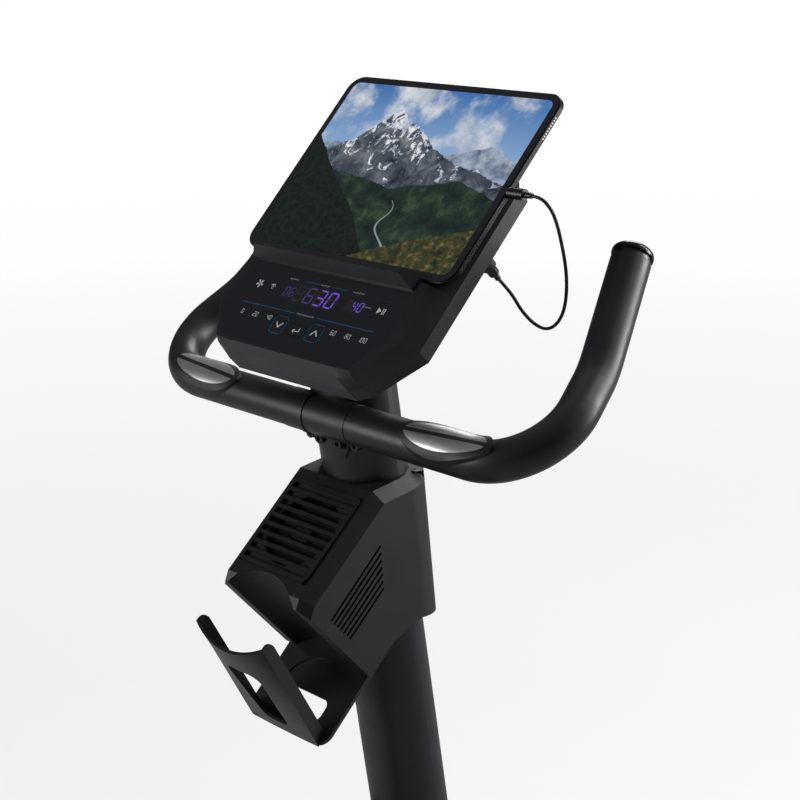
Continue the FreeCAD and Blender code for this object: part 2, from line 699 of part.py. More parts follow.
def make_pedal_strap(name, side):
    """A flat strap from one side of the pedal over the shoe to the other side."""
    half = d.pedal_width / 2
    path = [(-half, -9), (-half - 3, 30), (-half + 16, 66), (half - 16, 66), (half + 3, 30), (half, -9)]
    back = [(x * (1 + 2.6 / abs(x)), y + (2.6 if y > 60 else 0)) for x, y in reversed(path)]
    face = Part.Face(Part.Wire(Part.__sortEdges__([g.toShape() for g in outline(
        path + back, [0, 18, 22, 22, 18, 0, 0, 20.6, 24.6, 24.6, 20.6, 0])])))
    upright = Placement(Vector(0, 15, 0), Rotation(X_AXIS, 90))
    strap = face.extrude(Vector(0, 0, 30)).transformed(upright.toMatrix())
    strap = strap.cut(rod(d.spindle_radius + 1, X_AXIS * (-side * 30), X_AXIS * (-side * 60)))
    shaped(name, strap, Placement(PEDALS[side], Rotation()))


def belt_outline(grow):
    """The convex wrap of the three pulleys, each radius grown, as a closed wire in the YZ plane."""
    stops = [(CRANK.Base, d.pulley_radius + grow), (IDLER.Base, d.idler_radius + grow),
             (FLYWHEEL.Base, d.small_pulley + grow)]
    lines, edges = [], []
    for k, (centre, radius) in enumerate(stops):
        after, other = stops[(k + 1) % 3]
        along = after - centre
        tilt = math.acos((radius - other) / along.Length)
        heading = math.atan2(along.z, along.y) - tilt
        normal = Vector(0, math.cos(heading), math.sin(heading))
        lines.append((centre + normal * radius, after + normal * other))
    for k, (centre, radius) in enumerate(stops):
        start, end = lines[k - 1][1], lines[k][0]
        middle = centre + ((start - centre) + (end - centre)).normalize() * radius
        if k == 0:
            middle = centre - (FLYWHEEL.Base - centre).normalize() * radius
        edges += [Part.Arc(start, middle, end).toShape(), Part.makeLine(*lines[k])]
    return Part.Wire(edges)


def make_drive_belt():
    outer = Part.Face(belt_outline(0.3 + d.belt_thickness))
    inner = Part.Face(belt_outline(0.3))
    belt = outer.cut(inner).extrude(X_AXIS * d.belt_width)
    shaped("drive_belt", belt, Placement(Vector(d.belt_plane - d.belt_width / 2, 0, 0), Rotation()))


def make_idler():
    body = new_body("idler_pulley", around_x(IDLER, d.belt_plane))
    half = d.pulley_width / 2 - 0.5
    bore = 5 + d.bearing_clearance
    revolve(body, [(bore, -half), (d.idler_radius, -half), (d.idler_radius, half), (bore, half)])
    arm = prism([(-13, -13), (13, -13), (11, 74), (-11, 74)], 0, 3.7, radius=[12, 12, 10, 10])
    pivot = Vector(0, 200, 205)
    reach = IDLER.Base - pivot
    turn = math.degrees(math.atan2(reach.z, reach.y))
    plate = Placement(pivot + X_AXIS * (d.bracket_inner + d.bracket_thickness), Rotation(X_AXIS, turn))
    quarter = Placement(Vector(), Rotation(Z_AXIS, -90))
    arm.Placement = plate.multiply(Placement(Vector(), ALONG_X)).multiply(quarter)
    near = IDLER.Base + X_AXIS * (d.bracket_inner + d.bracket_thickness + 1)
    arm = arm.fuse(rod(5, near, IDLER.Base + X_AXIS * (d.belt_plane + 9)))
    bolt = pivot + X_AXIS * (d.bracket_inner + d.bracket_thickness)
    arm = arm.fuse(rod(8, bolt, bolt + X_AXIS * 8))
    shaped("idler_arm", arm)


def make_flywheel():
    body = new_body("flywheel", around_x(FLYWHEEL))
    half, rim, bore = d.flywheel_width / 2, d.flywheel_radius, d.flywheel_axle_radius
    revolve(body, [(bore, -half), (20, -half), (20, -6), (rim - 32, -6), (rim - 32, -half), (rim, -half),
                   (rim, half), (rim - 32, half), (rim - 32, 6), (20, 6), (20, half), (bore, half)])
    window = circle(sketch(body), "13", (55, 0))
    cut = pocket(body, window, both=True)
    polar(body, cut, 6)
    axle = new_body("flywheel_axle", around_x(FLYWHEEL))
    shaft, pulley = d.flywheel_axle_radius, d.small_pulley
    near, far = d.belt_plane - d.pulley_width / 2, d.belt_plane + d.pulley_width / 2
    revolve(axle, [(0, -42), (shaft, -42), (shaft, near), (pulley, near), (pulley, far), (0, far)])


def make_brake():
    """A caliper that straddles the flywheel rim and swings away from it to ease the load."""
    hub = FLYWHEEL.Base
    pivot = Vector(0, 207, 438)

    def arc_plate(low, high, start, end, x, width):
        band = Part.makeCylinder(high, width, hub + X_AXIS * x, X_AXIS)
        band = band.cut(Part.makeCylinder(low, width, hub + X_AXIS * x, X_AXIS))
        turns = [math.radians(angle) for angle in (start, end)]
        rays = [hub + Vector(0, math.cos(turn), math.sin(turn)) * 260 for turn in turns]
        wedge = Part.Face(Part.makePolygon([hub, *rays, hub])).extrude(X_AXIS * 80)
        wedge.translate(X_AXIS * -40)
        return band.common(wedge)

    arm = rod(10, pivot - X_AXIS * 29.6, pivot + X_AXIS * 29.6)
    for x in (-27, 24):
        arm = arm.fuse(arc_plate(100, 145, 45, 100, x, 3))
    arm = arm.fuse(arc_plate(133, 145, 45, 92, -24.5, 49))
    for x in (-24, 20.5):
        arm = arm.fuse(arc_plate(102, 124, 50, 88, x, 3.5))
    arm = arm.cut(rod(5 + d.bearing_clearance, pivot - X_AXIS * 40, pivot + X_AXIS * 40))
    shaped("brake_arm", arm)
    case = Part.makeBox(60, 48, 40, Vector(-30, 135, 412))
    sides = [e for e in case.Edges if e.BoundBox.XLength < 1 and abs(abs(e.CenterOfMass.x) - 30) < 0.1]
    case = case.makeChamfer(2, sides)
    case = case.fuse(rod(6, Vector(0, 183, 440), Vector(0, 190, 440)))
    shaped("brake_motor", case)


# ---- shrouds ----------------------------------------------------------------------------------

SHROUD = [(-215, 104), (-278, 552), (-210, 585), (-165, 566), (-100, 455), (60, 455), (235, 505), (292, 626),
          (404, 612), (444, 420), (478, 220), (474, 104)]
SHROUD_ROUND = [20, 30, 12, 30, 60, 120, 60, 14, 14, 60, 60, 20]


def make_shroud(name, side, tools):
    body = doc.addObject("PartDesign::Body", f"{name}_body")
    pad(body, draw(sketch(body, "YZ_Plane"), SHROUD, SHROUD_ROUND), "shroud_half", back=side < 0)
    outer = side * d.shroud_half
    dress(body, "Fillet", 9, lambda e: abs(e.CenterOfMass.x - outer) < 0.01 and e.BoundBox.XLength < 0.01)
    wall = d.shroud_wall
    face = Part.Face(Part.Wire(Part.__sortEdges__([g.toShape() for g in outline(SHROUD, SHROUD_ROUND)])))
    inset = face.makeOffset2D(-wall)
    room = inset.extrude(Vector(0, 0, d.shroud_half - wall))
    if side < 0:
        room = room.mirror(Vector(), Z_AXIS)
    room = room.transformed(Placement(Vector(), ALONG_X).toMatrix())
    far = [e for e in room.Edges if abs(abs(e.CenterOfMass.x) - (d.shroud_half - wall)) < 0.01
           and e.BoundBox.XLength < 0.01]
    room = room.makeFillet(6, far)
    cavity = doc.addObject("Part::Feature", f"{name}_room")
    cavity.Shape = room
    cut = combine("Cut", f"{name}_shell", [body, combine("MultiFuse", f"{name}_openings", [cavity] + tools)])
    node(cut, name)


def make_shrouds():
    crank_hole = solid("Cylinder", "crank_hole", Radius="axle_radius + 3", Height="4 * shroud_half",
                       Base__x="-2 * shroud_half", Base__y="crank_forward", Base__z="crank_rise")
    turned(crank_hole, Y_AXIS, 90)
    spine = solid("Box", "spine_hole", Length="spine_width + 1", Width="spine_front - spine_rear",
                  Height="spine_height + 0.5", Base__x="-spine_width / 2 - 0.5", Base__y="spine_rear",
                  Base__z="spine_bottom")
    seat = solid("Cylinder", "seat_tube_hole", Radius="seat_tube_radius + 0.5", Height="seat_tube_length")
    seat.Placement = SEAT
    face = Part.Ellipse(Vector(), d.mast_half_width + 0.5, d.mast_half_depth + 0.5)
    mast = doc.addObject("Part::Feature", "mast_hole")
    mast.Shape = Part.Face(Part.Wire(face.toShape())).extrude(Vector(0, 0, 700))
    mast.Placement = MAST
    inlet = solid("Cylinder", "inlet_hole", Radius="7.3", Height="40")
    inlet.Placement = Placement(Vector(30, -195, 150), Rotation(X_AXIS, 90))
    tools = [crank_hole, spine, seat, mast]
    make_shroud("shroud_left", -1, tools)
    make_shroud("shroud_right", 1, tools + [inlet])


def make_power_inlet():
    """A barrel socket low on the back of the right shroud half."""
    socket = Part.makeCylinder(7, 16).cut(Part.makeCylinder(3.2, 12))
    socket = socket.fuse(Part.makeCylinder(11, 2).cut(Part.makeCylinder(3.2, 2)))
    socket = socket.fuse(Part.makeCylinder(1.1, 13))
    shaped("power_inlet", socket, Placement(Vector(30, -225.6, 150), Rotation(X_AXIS, -90)))


# ---- seat -------------------------------------------------------------------------------------

def on_seat(x, y, z):
    return SEAT.multVec(Vector(x, y, z))


def make_seat_post():
    tube = Part.makeCylinder(d.post_radius, d.post_top - d.post_bottom, Vector(0, 0, d.post_bottom))
    tube = tube.cut(Part.makeCylinder(d.post_radius - d.post_wall, d.post_top - d.post_bottom - 20,
                                      Vector(0, 0, d.post_bottom)))
    for k in range(8):
        height = d.seat_tube_length - 23 - 110 + 25 * k
        tube = tube.cut(Part.makeCylinder(5.6, 25, Vector(0, 0, height), -Y_AXIS))
    tube.Placement = SEAT
    top = on_seat(0, 0, d.post_top)
    rail = Part.makeBox(d.rail_width, d.rail_length, d.rail_height,
                        Vector(-d.rail_width / 2, top.y - d.rail_length / 2, top.z - 8))
    rail = rail.makeFillet(3, [e for e in rail.Edges if e.BoundBox.YLength > 100])
    shaped("seat_post", Part.makeCompound([tube.fuse(rail)]).Solids[0])
    bush = Part.makeCylinder(d.seat_tube_bore, 60, Vector(0, 0, d.seat_tube_length - 60))
    bush = bush.fuse(Part.makeCylinder(d.seat_tube_radius + 2, 4, Vector(0, 0, d.seat_tube_length)))
    bush = bush.cut(Part.makeCylinder(d.post_radius + 0.3, 70, Vector(0, 0, d.seat_tube_length - 62)))
    bush = bush.cut(Part.makeCylinder(5.4, 40, Vector(0, 0, d.seat_tube_length - 23), -Y_AXIS))
    shaped("seat_bushing", bush, SEAT)
    pin = Part.makeCylinder(5, 46, Vector(0, -d.post_radius - 0.7, 0), -Y_AXIS)
    knob = Part.makeCylinder(15, 26, Vector(0, -41, 0), -Y_AXIS)
    knob = knob.makeFillet(5, [e for e in knob.Edges if e.CenterOfMass.y < -66])
    pin_place = SEAT.multiply(Placement(Vector(0, 0, d.seat_tube_length - 23), Rotation()))
    shaped("height_pin", pin.fuse(knob), pin_place)
    return top


def make_saddle():
    top = make_seat_post()
    rail_top = top.z - 8 + d.rail_height
    half = d.rail_width / 2
    low = rail_top - d.rail_height
    block = Part.makeBox(2 * half + 14, 120, d.rail_height + 14, Vector(-half - 7, top.y - 60, low - 6))
    slide = Part.makeBox(2 * half + 0.8, 124, d.rail_height + 0.8, Vector(-half - 0.4, top.y - 62, low - 0.4))
    block = block.cut(slide)
    block = block.cut(Part.makeBox(44, 124, 10, Vector(-22, top.y - 62, low - 8)))
    hub = Vector(half + 6, top.y, low + d.rail_height / 2)
    block = block.fuse(rod(11, hub, hub + X_AXIS * 9))
    block = block.cut(rod(5 + d.bearing_clearance, hub - X_AXIS * 8, hub + X_AXIS * 12))
    shaped("seat_carriage", block)
    stem = rod(5, Vector(half + 0.4, hub.y, hub.z), hub + X_AXIS * 14)
    grip = rod(19, hub + X_AXIS * 9.4, hub + X_AXIS * 33)
    grip = grip.makeFillet(3, [e for e in grip.Edges if e.CenterOfMass.x > hub.x + 32.9])
    for k in range(6):
        turn = math.radians(60 * k)
        groove = hub + Vector(0, math.cos(turn), math.sin(turn)) * 22.5
        grip = grip.cut(rod(6, groove, groove + X_AXIS * 40))
    shaped("seat_knob", stem.fuse(grip))
    deck = rail_top + 8
    right = [(28, 152), (35, 118), (48, 60), (84, 5), (112, -40), (116, -82), (92, -112), (34, -112)]
    plan = mirrored(list(reversed(right)))
    base = prism([(x * 0.93, y * 0.95) for x, y in plan], 0, 14, radius=12)
    neck = Part.makeBox(66, 110, 14, Vector(-33, -55, -12.4))
    base = base.fuse(neck)
    place = Placement(Vector(0, top.y - 10, deck + 12.4), Rotation())
    shaped("saddle_base", base, place)
    right = [9, 20, 30, 30, 60, 60, 20, 12]
    cushion = prism(plan, 0, d.saddle_pad_height, radius=right + right[::-1])
    crown = [e for e in cushion.Edges if e.CenterOfMass.z > d.saddle_pad_height - 0.1]
    cushion = cushion.makeFillet(16, crown)
    shaped("saddle_pad", cushion, Placement(place.Base + Vector(0, 0, 14), Rotation()))


# ---- mast, handlebar and grips ----------------------------------------------------------------

BAR_HEIGHT = -142
BAR_SET = -20
HORN_FOOT = Vector(268.8, BAR_SET, BAR_HEIGHT)
HORN_BEND = Vector(241.1, 82.4, -74.6)
HORN_TIP = Vector(211.5, 161.8, 13.2)
CLAMP_BOLTS = (-31, -13, 13, 31)


def head(*points):
    """Points given from the tablet's lower edge, in the floor frame."""
    return [TABLET_EDGE + Vector(*p) for p in points]


def oval(half_width, half_depth, low, high, ahead=0.0):
    """An oval block across the mast axis, between two distances along it."""
    face = Part.Face(Part.Wire(Part.Ellipse(Vector(0, ahead, low), half_width, half_depth).toShape()))
    block = face.extrude(Vector(0, 0, high - low))
    block.Placement = MAST
    return block


def neck_oval(grow, low, high):
    """The neck's outline grown all round, between two distances from its lower end."""
    return oval(d.neck_half_width + grow, d.neck_half_depth + grow, d.neck_start + low, d.neck_start + high,
                d.neck_ahead)


def bar_path(start, end_cut=0.0):
    """The right half of the handlebar's centre line, from start millimetres out of the middle."""
    tip = HORN_TIP - (HORN_TIP - HORN_BEND).normalize() * end_cut
    return path_wire(head((start, BAR_SET, BAR_HEIGHT), HORN_FOOT, HORN_BEND, tip), [66, 120])


def mirror_x(shape):
    return shape.mirror(Vector(), X_AXIS)


def make_mast():
    body = new_body("mast", MAST)
    wall = d.mast_wall
    tube = ellipse(sketch(body, lift="mast_start"), d.mast_half_width, d.mast_half_depth)
    pad(body, tube, "neck_start - mast_start")
    ahead = Placement(Vector(0, d.neck_ahead, 0), Rotation())
    neck = ellipse(sketch(body, lift="neck_start", offset=ahead), d.neck_half_width, d.neck_half_depth)
    pad(body, neck, "neck_length")
    hollow = ellipse(sketch(body, lift="mast_start"), d.mast_half_width - wall, d.mast_half_depth - wall)
    pocket(body, hollow, "neck_start - mast_start - 4", back=True)
    hollow = ellipse(sketch(body, lift="neck_start + neck_length", offset=ahead), d.neck_half_width - wall,
                     d.neck_half_depth - wall)
    pocket(body, hollow, "neck_length - 5")
    pocket(body, circle(sketch(body), "12", (0, 3)), both=True)
    centre = MAST.inverse().multVec(head((0, BAR_SET, BAR_HEIGHT))[0])
    notch = sketch(body, "YZ_Plane")
    pocket(body, circle(notch, "bar_radius", (round(centre.y, 3), round(centre.z, 3))), both=True)
    for x in CLAMP_BOLTS:
        bore = sketch(body, "XZ_Plane")
        pocket(body, circle(bore, "bolt_radius + 0.15", (x, d.neck_start + d.bolt_rise)), "60", back=True)


def make_handlebar():
    half = tube_along(bar_path(0), d.bar_radius, d.bar_radius - d.bar_wall)
    bar = half.fuse(mirror_x(half)).removeSplitter()
    shaped("handlebar", bar)
    grip = tube_along(bar_path(d.grip_start, 6), d.grip_radius, d.bar_radius)
    shaped("grips", Part.makeCompound([grip, mirror_x(grip)]))
    along = (HORN_TIP - HORN_BEND).normalize()
    tip = TABLET_EDGE + HORN_TIP
    cap = rod(d.grip_radius + 0.6, tip, tip + along * 7)
    cap = cap.makeFillet(5, [e for e in cap.Edges if (e.CenterOfMass - tip).dot(along) > 6.9])
    cap = cap.fuse(rod(d.bar_radius - d.bar_wall, tip - along * 18, tip))
    shaped("bar_end_caps", Part.makeCompound([cap, mirror_x(cap)]))


def make_clamp():
    """A cover over the bar at the neck, held by a row of bolts under the bar."""
    centre = head((0, BAR_SET, BAR_HEIGHT))[0]
    half = d.grip_start - 0.4
    cover = rod(19.4, centre - X_AXIS * half, centre + X_AXIS * half)
    cover = cover.fuse(rod(20.4, centre - X_AXIS * 18, centre - X_AXIS * 12))
    flange = neck_oval(2, 30, 62).common(Part.makeBox(80, 90, 60, TABLET_EDGE + Vector(-40, -100, -186)))
    cover = cover.fuse(flange)
    bore = rod(d.bar_radius, centre - X_AXIS * 60, centre + X_AXIS * 60)
    cover = cover.cut(bore).cut(neck_oval(0, -10, d.neck_length))
    inward = MAST.Rotation.multVec(Y_AXIS)
    bolts = []
    for x in CLAMP_BOLTS:
        near = (abs(x) - 6.6) / d.neck_half_width
        depth = d.neck_half_depth * math.sqrt(1 - near ** 2) - d.neck_ahead + 0.6
        seat = MAST.multVec(Vector(x, -depth, d.neck_start + d.bolt_rise))
        cover = cover.cut(rod(d.bolt_radius, seat - inward * 10, seat + inward * 20))
        bolt = rod(5.4, seat - inward * 5, seat).fuse(rod(6.6, seat - inward * 1.2, seat))
        bolt = bolt.fuse(rod(d.bolt_radius, seat, seat + inward * 16))
        bolts.append(bolt.cut(rod(2.5, seat - inward * 6, seat - inward * 2.5)))
        cover = cover.cut(rod(6.6, seat - inward * 10, seat))
    cover = max(cover.Solids, key=lambda piece: piece.Volume)
    shaped("handlebar_clamp", cover)
    shaped("clamp_bolts", Part.makeCompound(bolts))


def make_pulse_sensors():
    """Oval pods on the bar, each with a raised rim and two stainless pads side by side along the bar."""
    centre = head((166, BAR_SET, BAR_HEIGHT))[0]
    face = Placement(centre, Rotation(X_AXIS, 31).multiply(Rotation(Z_AXIS, 4)))

    def pod(half_width, half_depth, low, high):
        plate = Part.Face(Part.Wire(Part.Ellipse(Vector(0, 0, low), half_width, half_depth).toShape()))
        block = plate.extrude(Vector(0, 0, high - low))
        block.Placement = face
        return block

    def around(radius):
        return tube_along(bar_path(60), radius)

    housing = pod(53, 19.5, 2, 30).common(around(22.2)).cut(around(d.grip_radius))
    housing = max(housing.Solids, key=lambda piece: piece.Volume)
    lens = pod(46.5, 14.5, 8, 30)
    bar = Part.makeBox(140, 4.6, 60, Vector(-70, -2.3, 0))
    bar.Placement = face
    pads = lens.common(around(22.6)).cut(around(20.8)).cut(bar)
    housing = housing.cut(pads)
    housing = max(housing.Solids, key=lambda piece: piece.Volume)
    shaped("pulse_housings", Part.makeCompound([housing, mirror_x(housing)]))
    shaped("pulse_pads", Part.makeCompound(pads.Solids + mirror_x(pads).Solids))


# ---- fan housing and bottle holder ------------------------------------------------------------

FAN_PROFILE = [(24, -203), (-8, -207), (-100, -288), (-104, -298), (-21, -388), (9.9, -359.5), (46, -346)]
REAR_PROFILE = [(24, -203), (46, -346), (90, -350), (72, -202), (46, -199.5)]


VENTS = 7
VENT_ROWS = [(Vector(0, -71, -315), Vector(0, -8, -258)), (Vector(0, -48, -340), Vector(0, -4, -301))]


def head_prism(points, half, trim=0.0):
    """A solid across the bike on a side profile given from the tablet's lower edge."""
    block = prism(points, -half, half, "YZ")
    if trim:
        def wanted(edge):
            middle = edge.CenterOfMass
            long = edge.BoundBox.XLength < 0.01 and abs(abs(middle.x) - half) < 0.01
            return long and middle.z > -290 and middle.y < 20 or long and middle.z < -290 and middle.y < -90
        block = block.makeChamfer(trim, [e for e in block.Edges if wanted(e)])
    block.Placement = HEAD.multiply(block.Placement)
    return block


def mast_clearance():
    low = oval(d.mast_half_width + 0.4, d.mast_half_depth + 0.4, 500, d.neck_start + 0.4)
    return low.fuse(neck_oval(0.4, -0.4, 150))


def grille_box(width, height, low, high):
    block = Part.makeBox(width, height, high - low, Vector(-width / 2, -height / 2, low))
    block.Placement = GRILLE
    return block


def rear_shell(profile, half, fillet, chamfer, shrink=0):
    """The rear cover's outline with round back corners and its forward top edges chamfered."""
    shell = head_prism(profile, half)
    back = [e for e in shell.Edges if e.CenterOfMass.y > d.console_forward + 75 and e.BoundBox.XLength < 0.01
            and e.BoundBox.ZLength > 80]
    shell = shell.makeFillet(fillet, back)
    top = [e for e in shell.Edges if e.CenterOfMass.z > d.console_rise - 206 - shrink
           and e.BoundBox.XLength < 0.01 and abs(e.CenterOfMass.x) > half - 0.1
           and e.CenterOfMass.y < d.console_forward + 46]
    return shell.makeChamfer(chamfer, top)


def make_fan_housing():
    wall, half = d.fan_wall, d.fan_half
    outer = head_prism(FAN_PROFILE, half, 11)
    room = [(24 + 30, -203 - wall), (24, -203 - wall), (-7, -207 - wall - 0.4), (-97.2, -289), (-100.6, -297),
            (-44, -357), (-2, -352), (46 + 30, -346 + wall)]
    outer = outer.cut(head_prism(room, half - wall, 9.5))
    axis = HOLDER.multVec(Vector(0, -40, 0))
    along = HOLDER.Rotation.multVec(Z_AXIS)
    bottle = rod(62, axis - along * 40, axis + along * 220)
    back = rod(62 + wall, axis - along * 2, axis + along * 150).common(head_prism(FAN_PROFILE, half))
    outer = outer.fuse(back).cut(bottle)
    outer = outer.cut(grille_box(d.grille_width + 0.6, d.grille_height + 0.6, -15, 15))
    inside = head_prism([(-150, -400), (100, -400), (100, -150), (-150, -150)], half - 4)
    first, last = VENT_ROWS
    for k in range(VENTS):
        share = k / (VENTS - 1)
        ends = [start + (end - start) * share for start, end in zip(first, last)]
        along_slot = (ends[1] - ends[0]).normalize()
        across = Vector(0, along_slot.z, -along_slot.y) * 1.3
        corners = [ends[0] - across, ends[1] - across, ends[1] + across, ends[0] + across]
        slot = head_prism([(c.y, c.z) for c in corners], half + 2)
        outer = outer.cut(slot.cut(inside))
    outer = outer.cut(mast_clearance())
    outer = max(outer.Solids, key=lambda piece: piece.Volume)
    shaped("fan_housing", outer)
    room = [(10, -203 - wall), (30, -346 + wall), (90 - wall, -350 + wall), (72 - wall, -202 - wall),
            (46, -199.5 - wall)]
    shell = rear_shell(REAR_PROFILE, half, 40, 11)
    hollow = rear_shell(room, half - wall, 38, 9.5, wall)
    shell = shell.cut(hollow).cut(mast_clearance())
    shell = max(shell.Solids, key=lambda piece: piece.Volume)
    shaped("fan_rear_cover", shell)


def make_fan():
    """The grille, and behind it a slim fan: a square frame with its motor, and the rotor."""
    body = new_body("fan_grille", GRILLE)
    outline = rectangle(sketch(body, lift="-grille_thickness"), "grille_width", "grille_height")
    pad(body, outline, "grille_thickness")
    dress(body, "Fillet", 6, lambda e: e.BoundBox.ZLength > 2 and e.BoundBox.XLength < 0.1
          and e.BoundBox.YLength < 0.1)
    slit = sketch(body)
    draw(slit, [(-43.5, -44), (43.5, -44), (43.5, -37.8), (-43.5, -37.8)], 1.2)
    cut = pocket(body, slit)
    linear(body, cut, 9, 81.8)
    middle = Placement(Vector(0, 0, -d.grille_thickness - d.fan_depth / 2), Rotation())
    wheel = new_body("fan_rotor", GRILLE.multiply(middle))
    revolve(wheel, [(0, -4), (13, -4), (13, 3), (10, 5), (0, 5)])
    blade = draw(sketch(wheel, lift="-2.4"), [(9, -4), (28, -21), (35, -14), (37, 4), (33, 12), (9, 5)], 1.5)
    vane = pad(wheel, blade, "2.4")
    polar(wheel, vane, 7)
    body = new_body("fan_motor", GRILLE.multiply(middle))
    pad(body, rectangle(sketch(body, lift="-fan_depth / 2"), "fan_frame", "fan_frame"), "fan_depth")
    dress(body, "Fillet", 5, lambda e: e.BoundBox.ZLength > 2)
    pocket(body, circle(sketch(body, lift="fan_depth / 2"), "rotor_radius + 1.5"), "fan_depth - 2")
    for x, y in ((24.5, 17), (24.5, -17), (-24.5, 17), (-24.5, -17)):
        offset = Placement(Vector(x, y, 0), Rotation())
        opening = draw(sketch(body, offset=offset), [(-9, -11), (9, -11), (9, 11), (-9, 11)], 4)
        pocket(body, opening, both=True)


def panel_section(a, edge, centre, half, thick):
    """A curved cross-section of the holder's front plate, as a closed wire."""
    outer = Part.Arc(Vector(-half, -edge, a), Vector(0, -centre, a), Vector(half, -edge, a))
    inner = Part.Arc(Vector(half, thick - edge, a), Vector(0, thick - centre, a),
                     Vector(-half, thick - edge, a))
    sides = [Part.makeLine(outer.EndPoint, inner.StartPoint), Part.makeLine(inner.EndPoint, outer.StartPoint)]
    return Part.Wire([outer.toShape(), sides[0], inner.toShape(), sides[1]])


def box_section(a, x0, x1, b0, b1):
    corners = [Vector(x0, -b0, a), Vector(x1, -b0, a), Vector(x1, -b1, a), Vector(x0, -b1, a)]
    return Part.makePolygon(corners + corners[:1])


def make_bottle_holder():
    wall = d.holder_wall
    half = 48.5
    low, high = -4, 127
    sections = [panel_section(low, 79.5, 80, half, wall), panel_section(high, 47.2, 60.5, half, wall)]
    holder = Part.makeLoft(sections, True, True)
    for side in (-1, 1):
        inner, outer = sorted((side * (half - wall), side * half))
        sections = [box_section(low, inner, outer, 66, 79.5), box_section(high, inner, outer, 35, 47.2)]
        holder = holder.fuse(Part.makeLoft(sections, True, True))
    right = d.holder_half
    floor = prism([(-right, -79), (right, -79), (right, 42), (-right, 42)], low, 0, radius=[14, 14, 6, 6])
    hole = prism([(-32, -60), (32, -60), (32, -37), (-32, -37)], -10, 10, radius=8)
    dish = Part.makeCylinder(37, 2, Vector(0, -38, -1.2))
    holder = holder.fuse(floor).cut(hole).cut(dish)
    arch = prism([(-17.5, 12), (17.5, 12), (24, 92), (-24, 92)], 30, 90, radius=[8, 8, 14, 14])
    arch.Placement = Placement(Vector(), Rotation(X_AXIS, 90)).multiply(arch.Placement)
    holder = holder.cut(arch)
    rim = Part.makeCylinder(240, 60, Vector(0, -90, 122 + 240), Y_AXIS)
    slope = math.atan2(66 - 35, high - low)
    corner = 8
    middle = Vector(-half - 1, 0, high - corner)
    middle.y = -66 + (middle.z - low) * math.tan(slope) - corner / math.cos(slope)
    ears = Part.makeBox(2 * half + 2, 20, 20, middle - Z_AXIS * corner * math.sin(slope))
    ears = ears.cut(Part.makeCylinder(corner, 2 * half + 2, middle, X_AXIS))
    holder = holder.cut(rim).cut(ears)
    holder = max(holder.Solids, key=lambda piece: piece.Volume)
    shaped("bottle_holder", holder, HOLDER.multiply(Placement(Vector(0, 0, -0.2), Rotation())))


# ---- console ----------------------------------------------------------------------------------

def level(right, n):
    """A closed outline on the console's slope at a height n, from its right half."""
    points = [Vector(x, y, n) for x, y in mirrored(right)]
    return Part.makePolygon(points + points[:1])


BAND = [(82, -113), (97, -106), (134, -60), (134, 118), (128, 124)]
OVERLAY = [(70, -101.5), (88.6, -100), (112.8, -70), (107.6, -13.6)]


def make_console():
    wall = d.console_wall
    skirt = [level([(82, -113), (97, -106), (134, -60), (134, -1)], -18),
             level([(76, -109.5), (93, -105.5), (121, -63), (121, -2)], -4),
             level([(72, -103.4), (91.5, -102.6), (116, -68), (115, -4)], 3)]
    front = Part.makeLoft(skirt, True, True)
    room = [level([(80, -110), (95, -103), (131, -59), (131, -4)], -18),
            level([(74, -106), (90, -102), (118, -61.5), (118, -5)], -5),
            level([(70, -100.6), (88, -99.6), (112, -67), (111, -7)], 0.2)]
    front = front.cut(Part.makeLoft(room, True, True))
    rest = Part.makeLoft([level([(134, -4), (134, 118), (128, 127)], -18),
                          level([(121, -4), (121, 112), (117, 118)], -6.6)], True, True)
    rest_room = Part.makeLoft([level([(131, -1), (131, 116), (127, 124)], -18),
                               level([(119.5, -1), (119.5, 110), (116, 115)], -9.2)], True, True)
    ledge = Part.makeLoft([level([(108, -14), (108, -0.4)], -6.6), level([(108, -14), (108, -0.4)], 6),
                           level([(98.5, -8.5), (98.5, -3)], 20.5)], True, True)
    front = front.fuse(rest).cut(rest_room).fuse(ledge)
    bed = prism(mirrored(OVERLAY), 3 - d.overlay_thickness, 6)
    front = front.cut(bed.cut(ledge))
    keys = key_shapes()
    for shape in keys.values():
        front = front.cut(shape["well"])
    port = prism([(-40, -57), (40, -57), (40, -20), (-40, -20)], -2, 10, radius=3)
    front = front.cut(port)
    front = max(front.Solids, key=lambda piece: piece.Volume)
    shaped("console_front", front, CONSOLE)
    overlay = prism(mirrored(OVERLAY), 3 - d.overlay_thickness, 3)
    for shape in keys.values():
        overlay = overlay.cut(shape["hole"])
    overlay = overlay.cut(ledge)
    overlay = max(overlay.Solids, key=lambda piece: piece.Volume)
    shaped("console_overlay", overlay, CONSOLE)
    for name, shape in keys.items():
        shaped(name, shape["key"], CONSOLE)
    make_console_rear(wall)
    board = Part.makeBox(150, 62, 1.6, Vector(-75, -82, -12))
    display = Part.makeBox(70, 24, 6, Vector(-30, -52, -10.4))
    shaped("console_board", board.fuse(display), CONSOLE)


def key_shapes():
    """Each key: a flush cap in the overlay with a stem that reaches through the shell."""
    places = {"key_down": (-22, -76.5, 19, 20), "key_up": (27, -76.5, 19, 20),
              "key_enter": (2.5, -78, 20, 12), "key_start_stop": (86, -40, 16, 16)}
    found = {}
    for name, (x, y, width, height) in places.items():
        def slab(grow, low, high, shrink=0.0):
            right, top = width / 2 + grow - shrink, height / 2 + grow - shrink
            corners = [(x - right, y - top), (x + right, y - top), (x + right, y + top), (x - right, y + top)]
            return prism(corners, low, high, radius=1.2)
        key = slab(0, 1.6, 3).fuse(slab(0, -6, 1.8, 4))
        well = slab(0.4, 0.8, 4).fuse(slab(0.4, -3, 4, 4))
        found[name] = {"key": key, "hole": slab(0.35, 0, 4), "well": well}
    return found


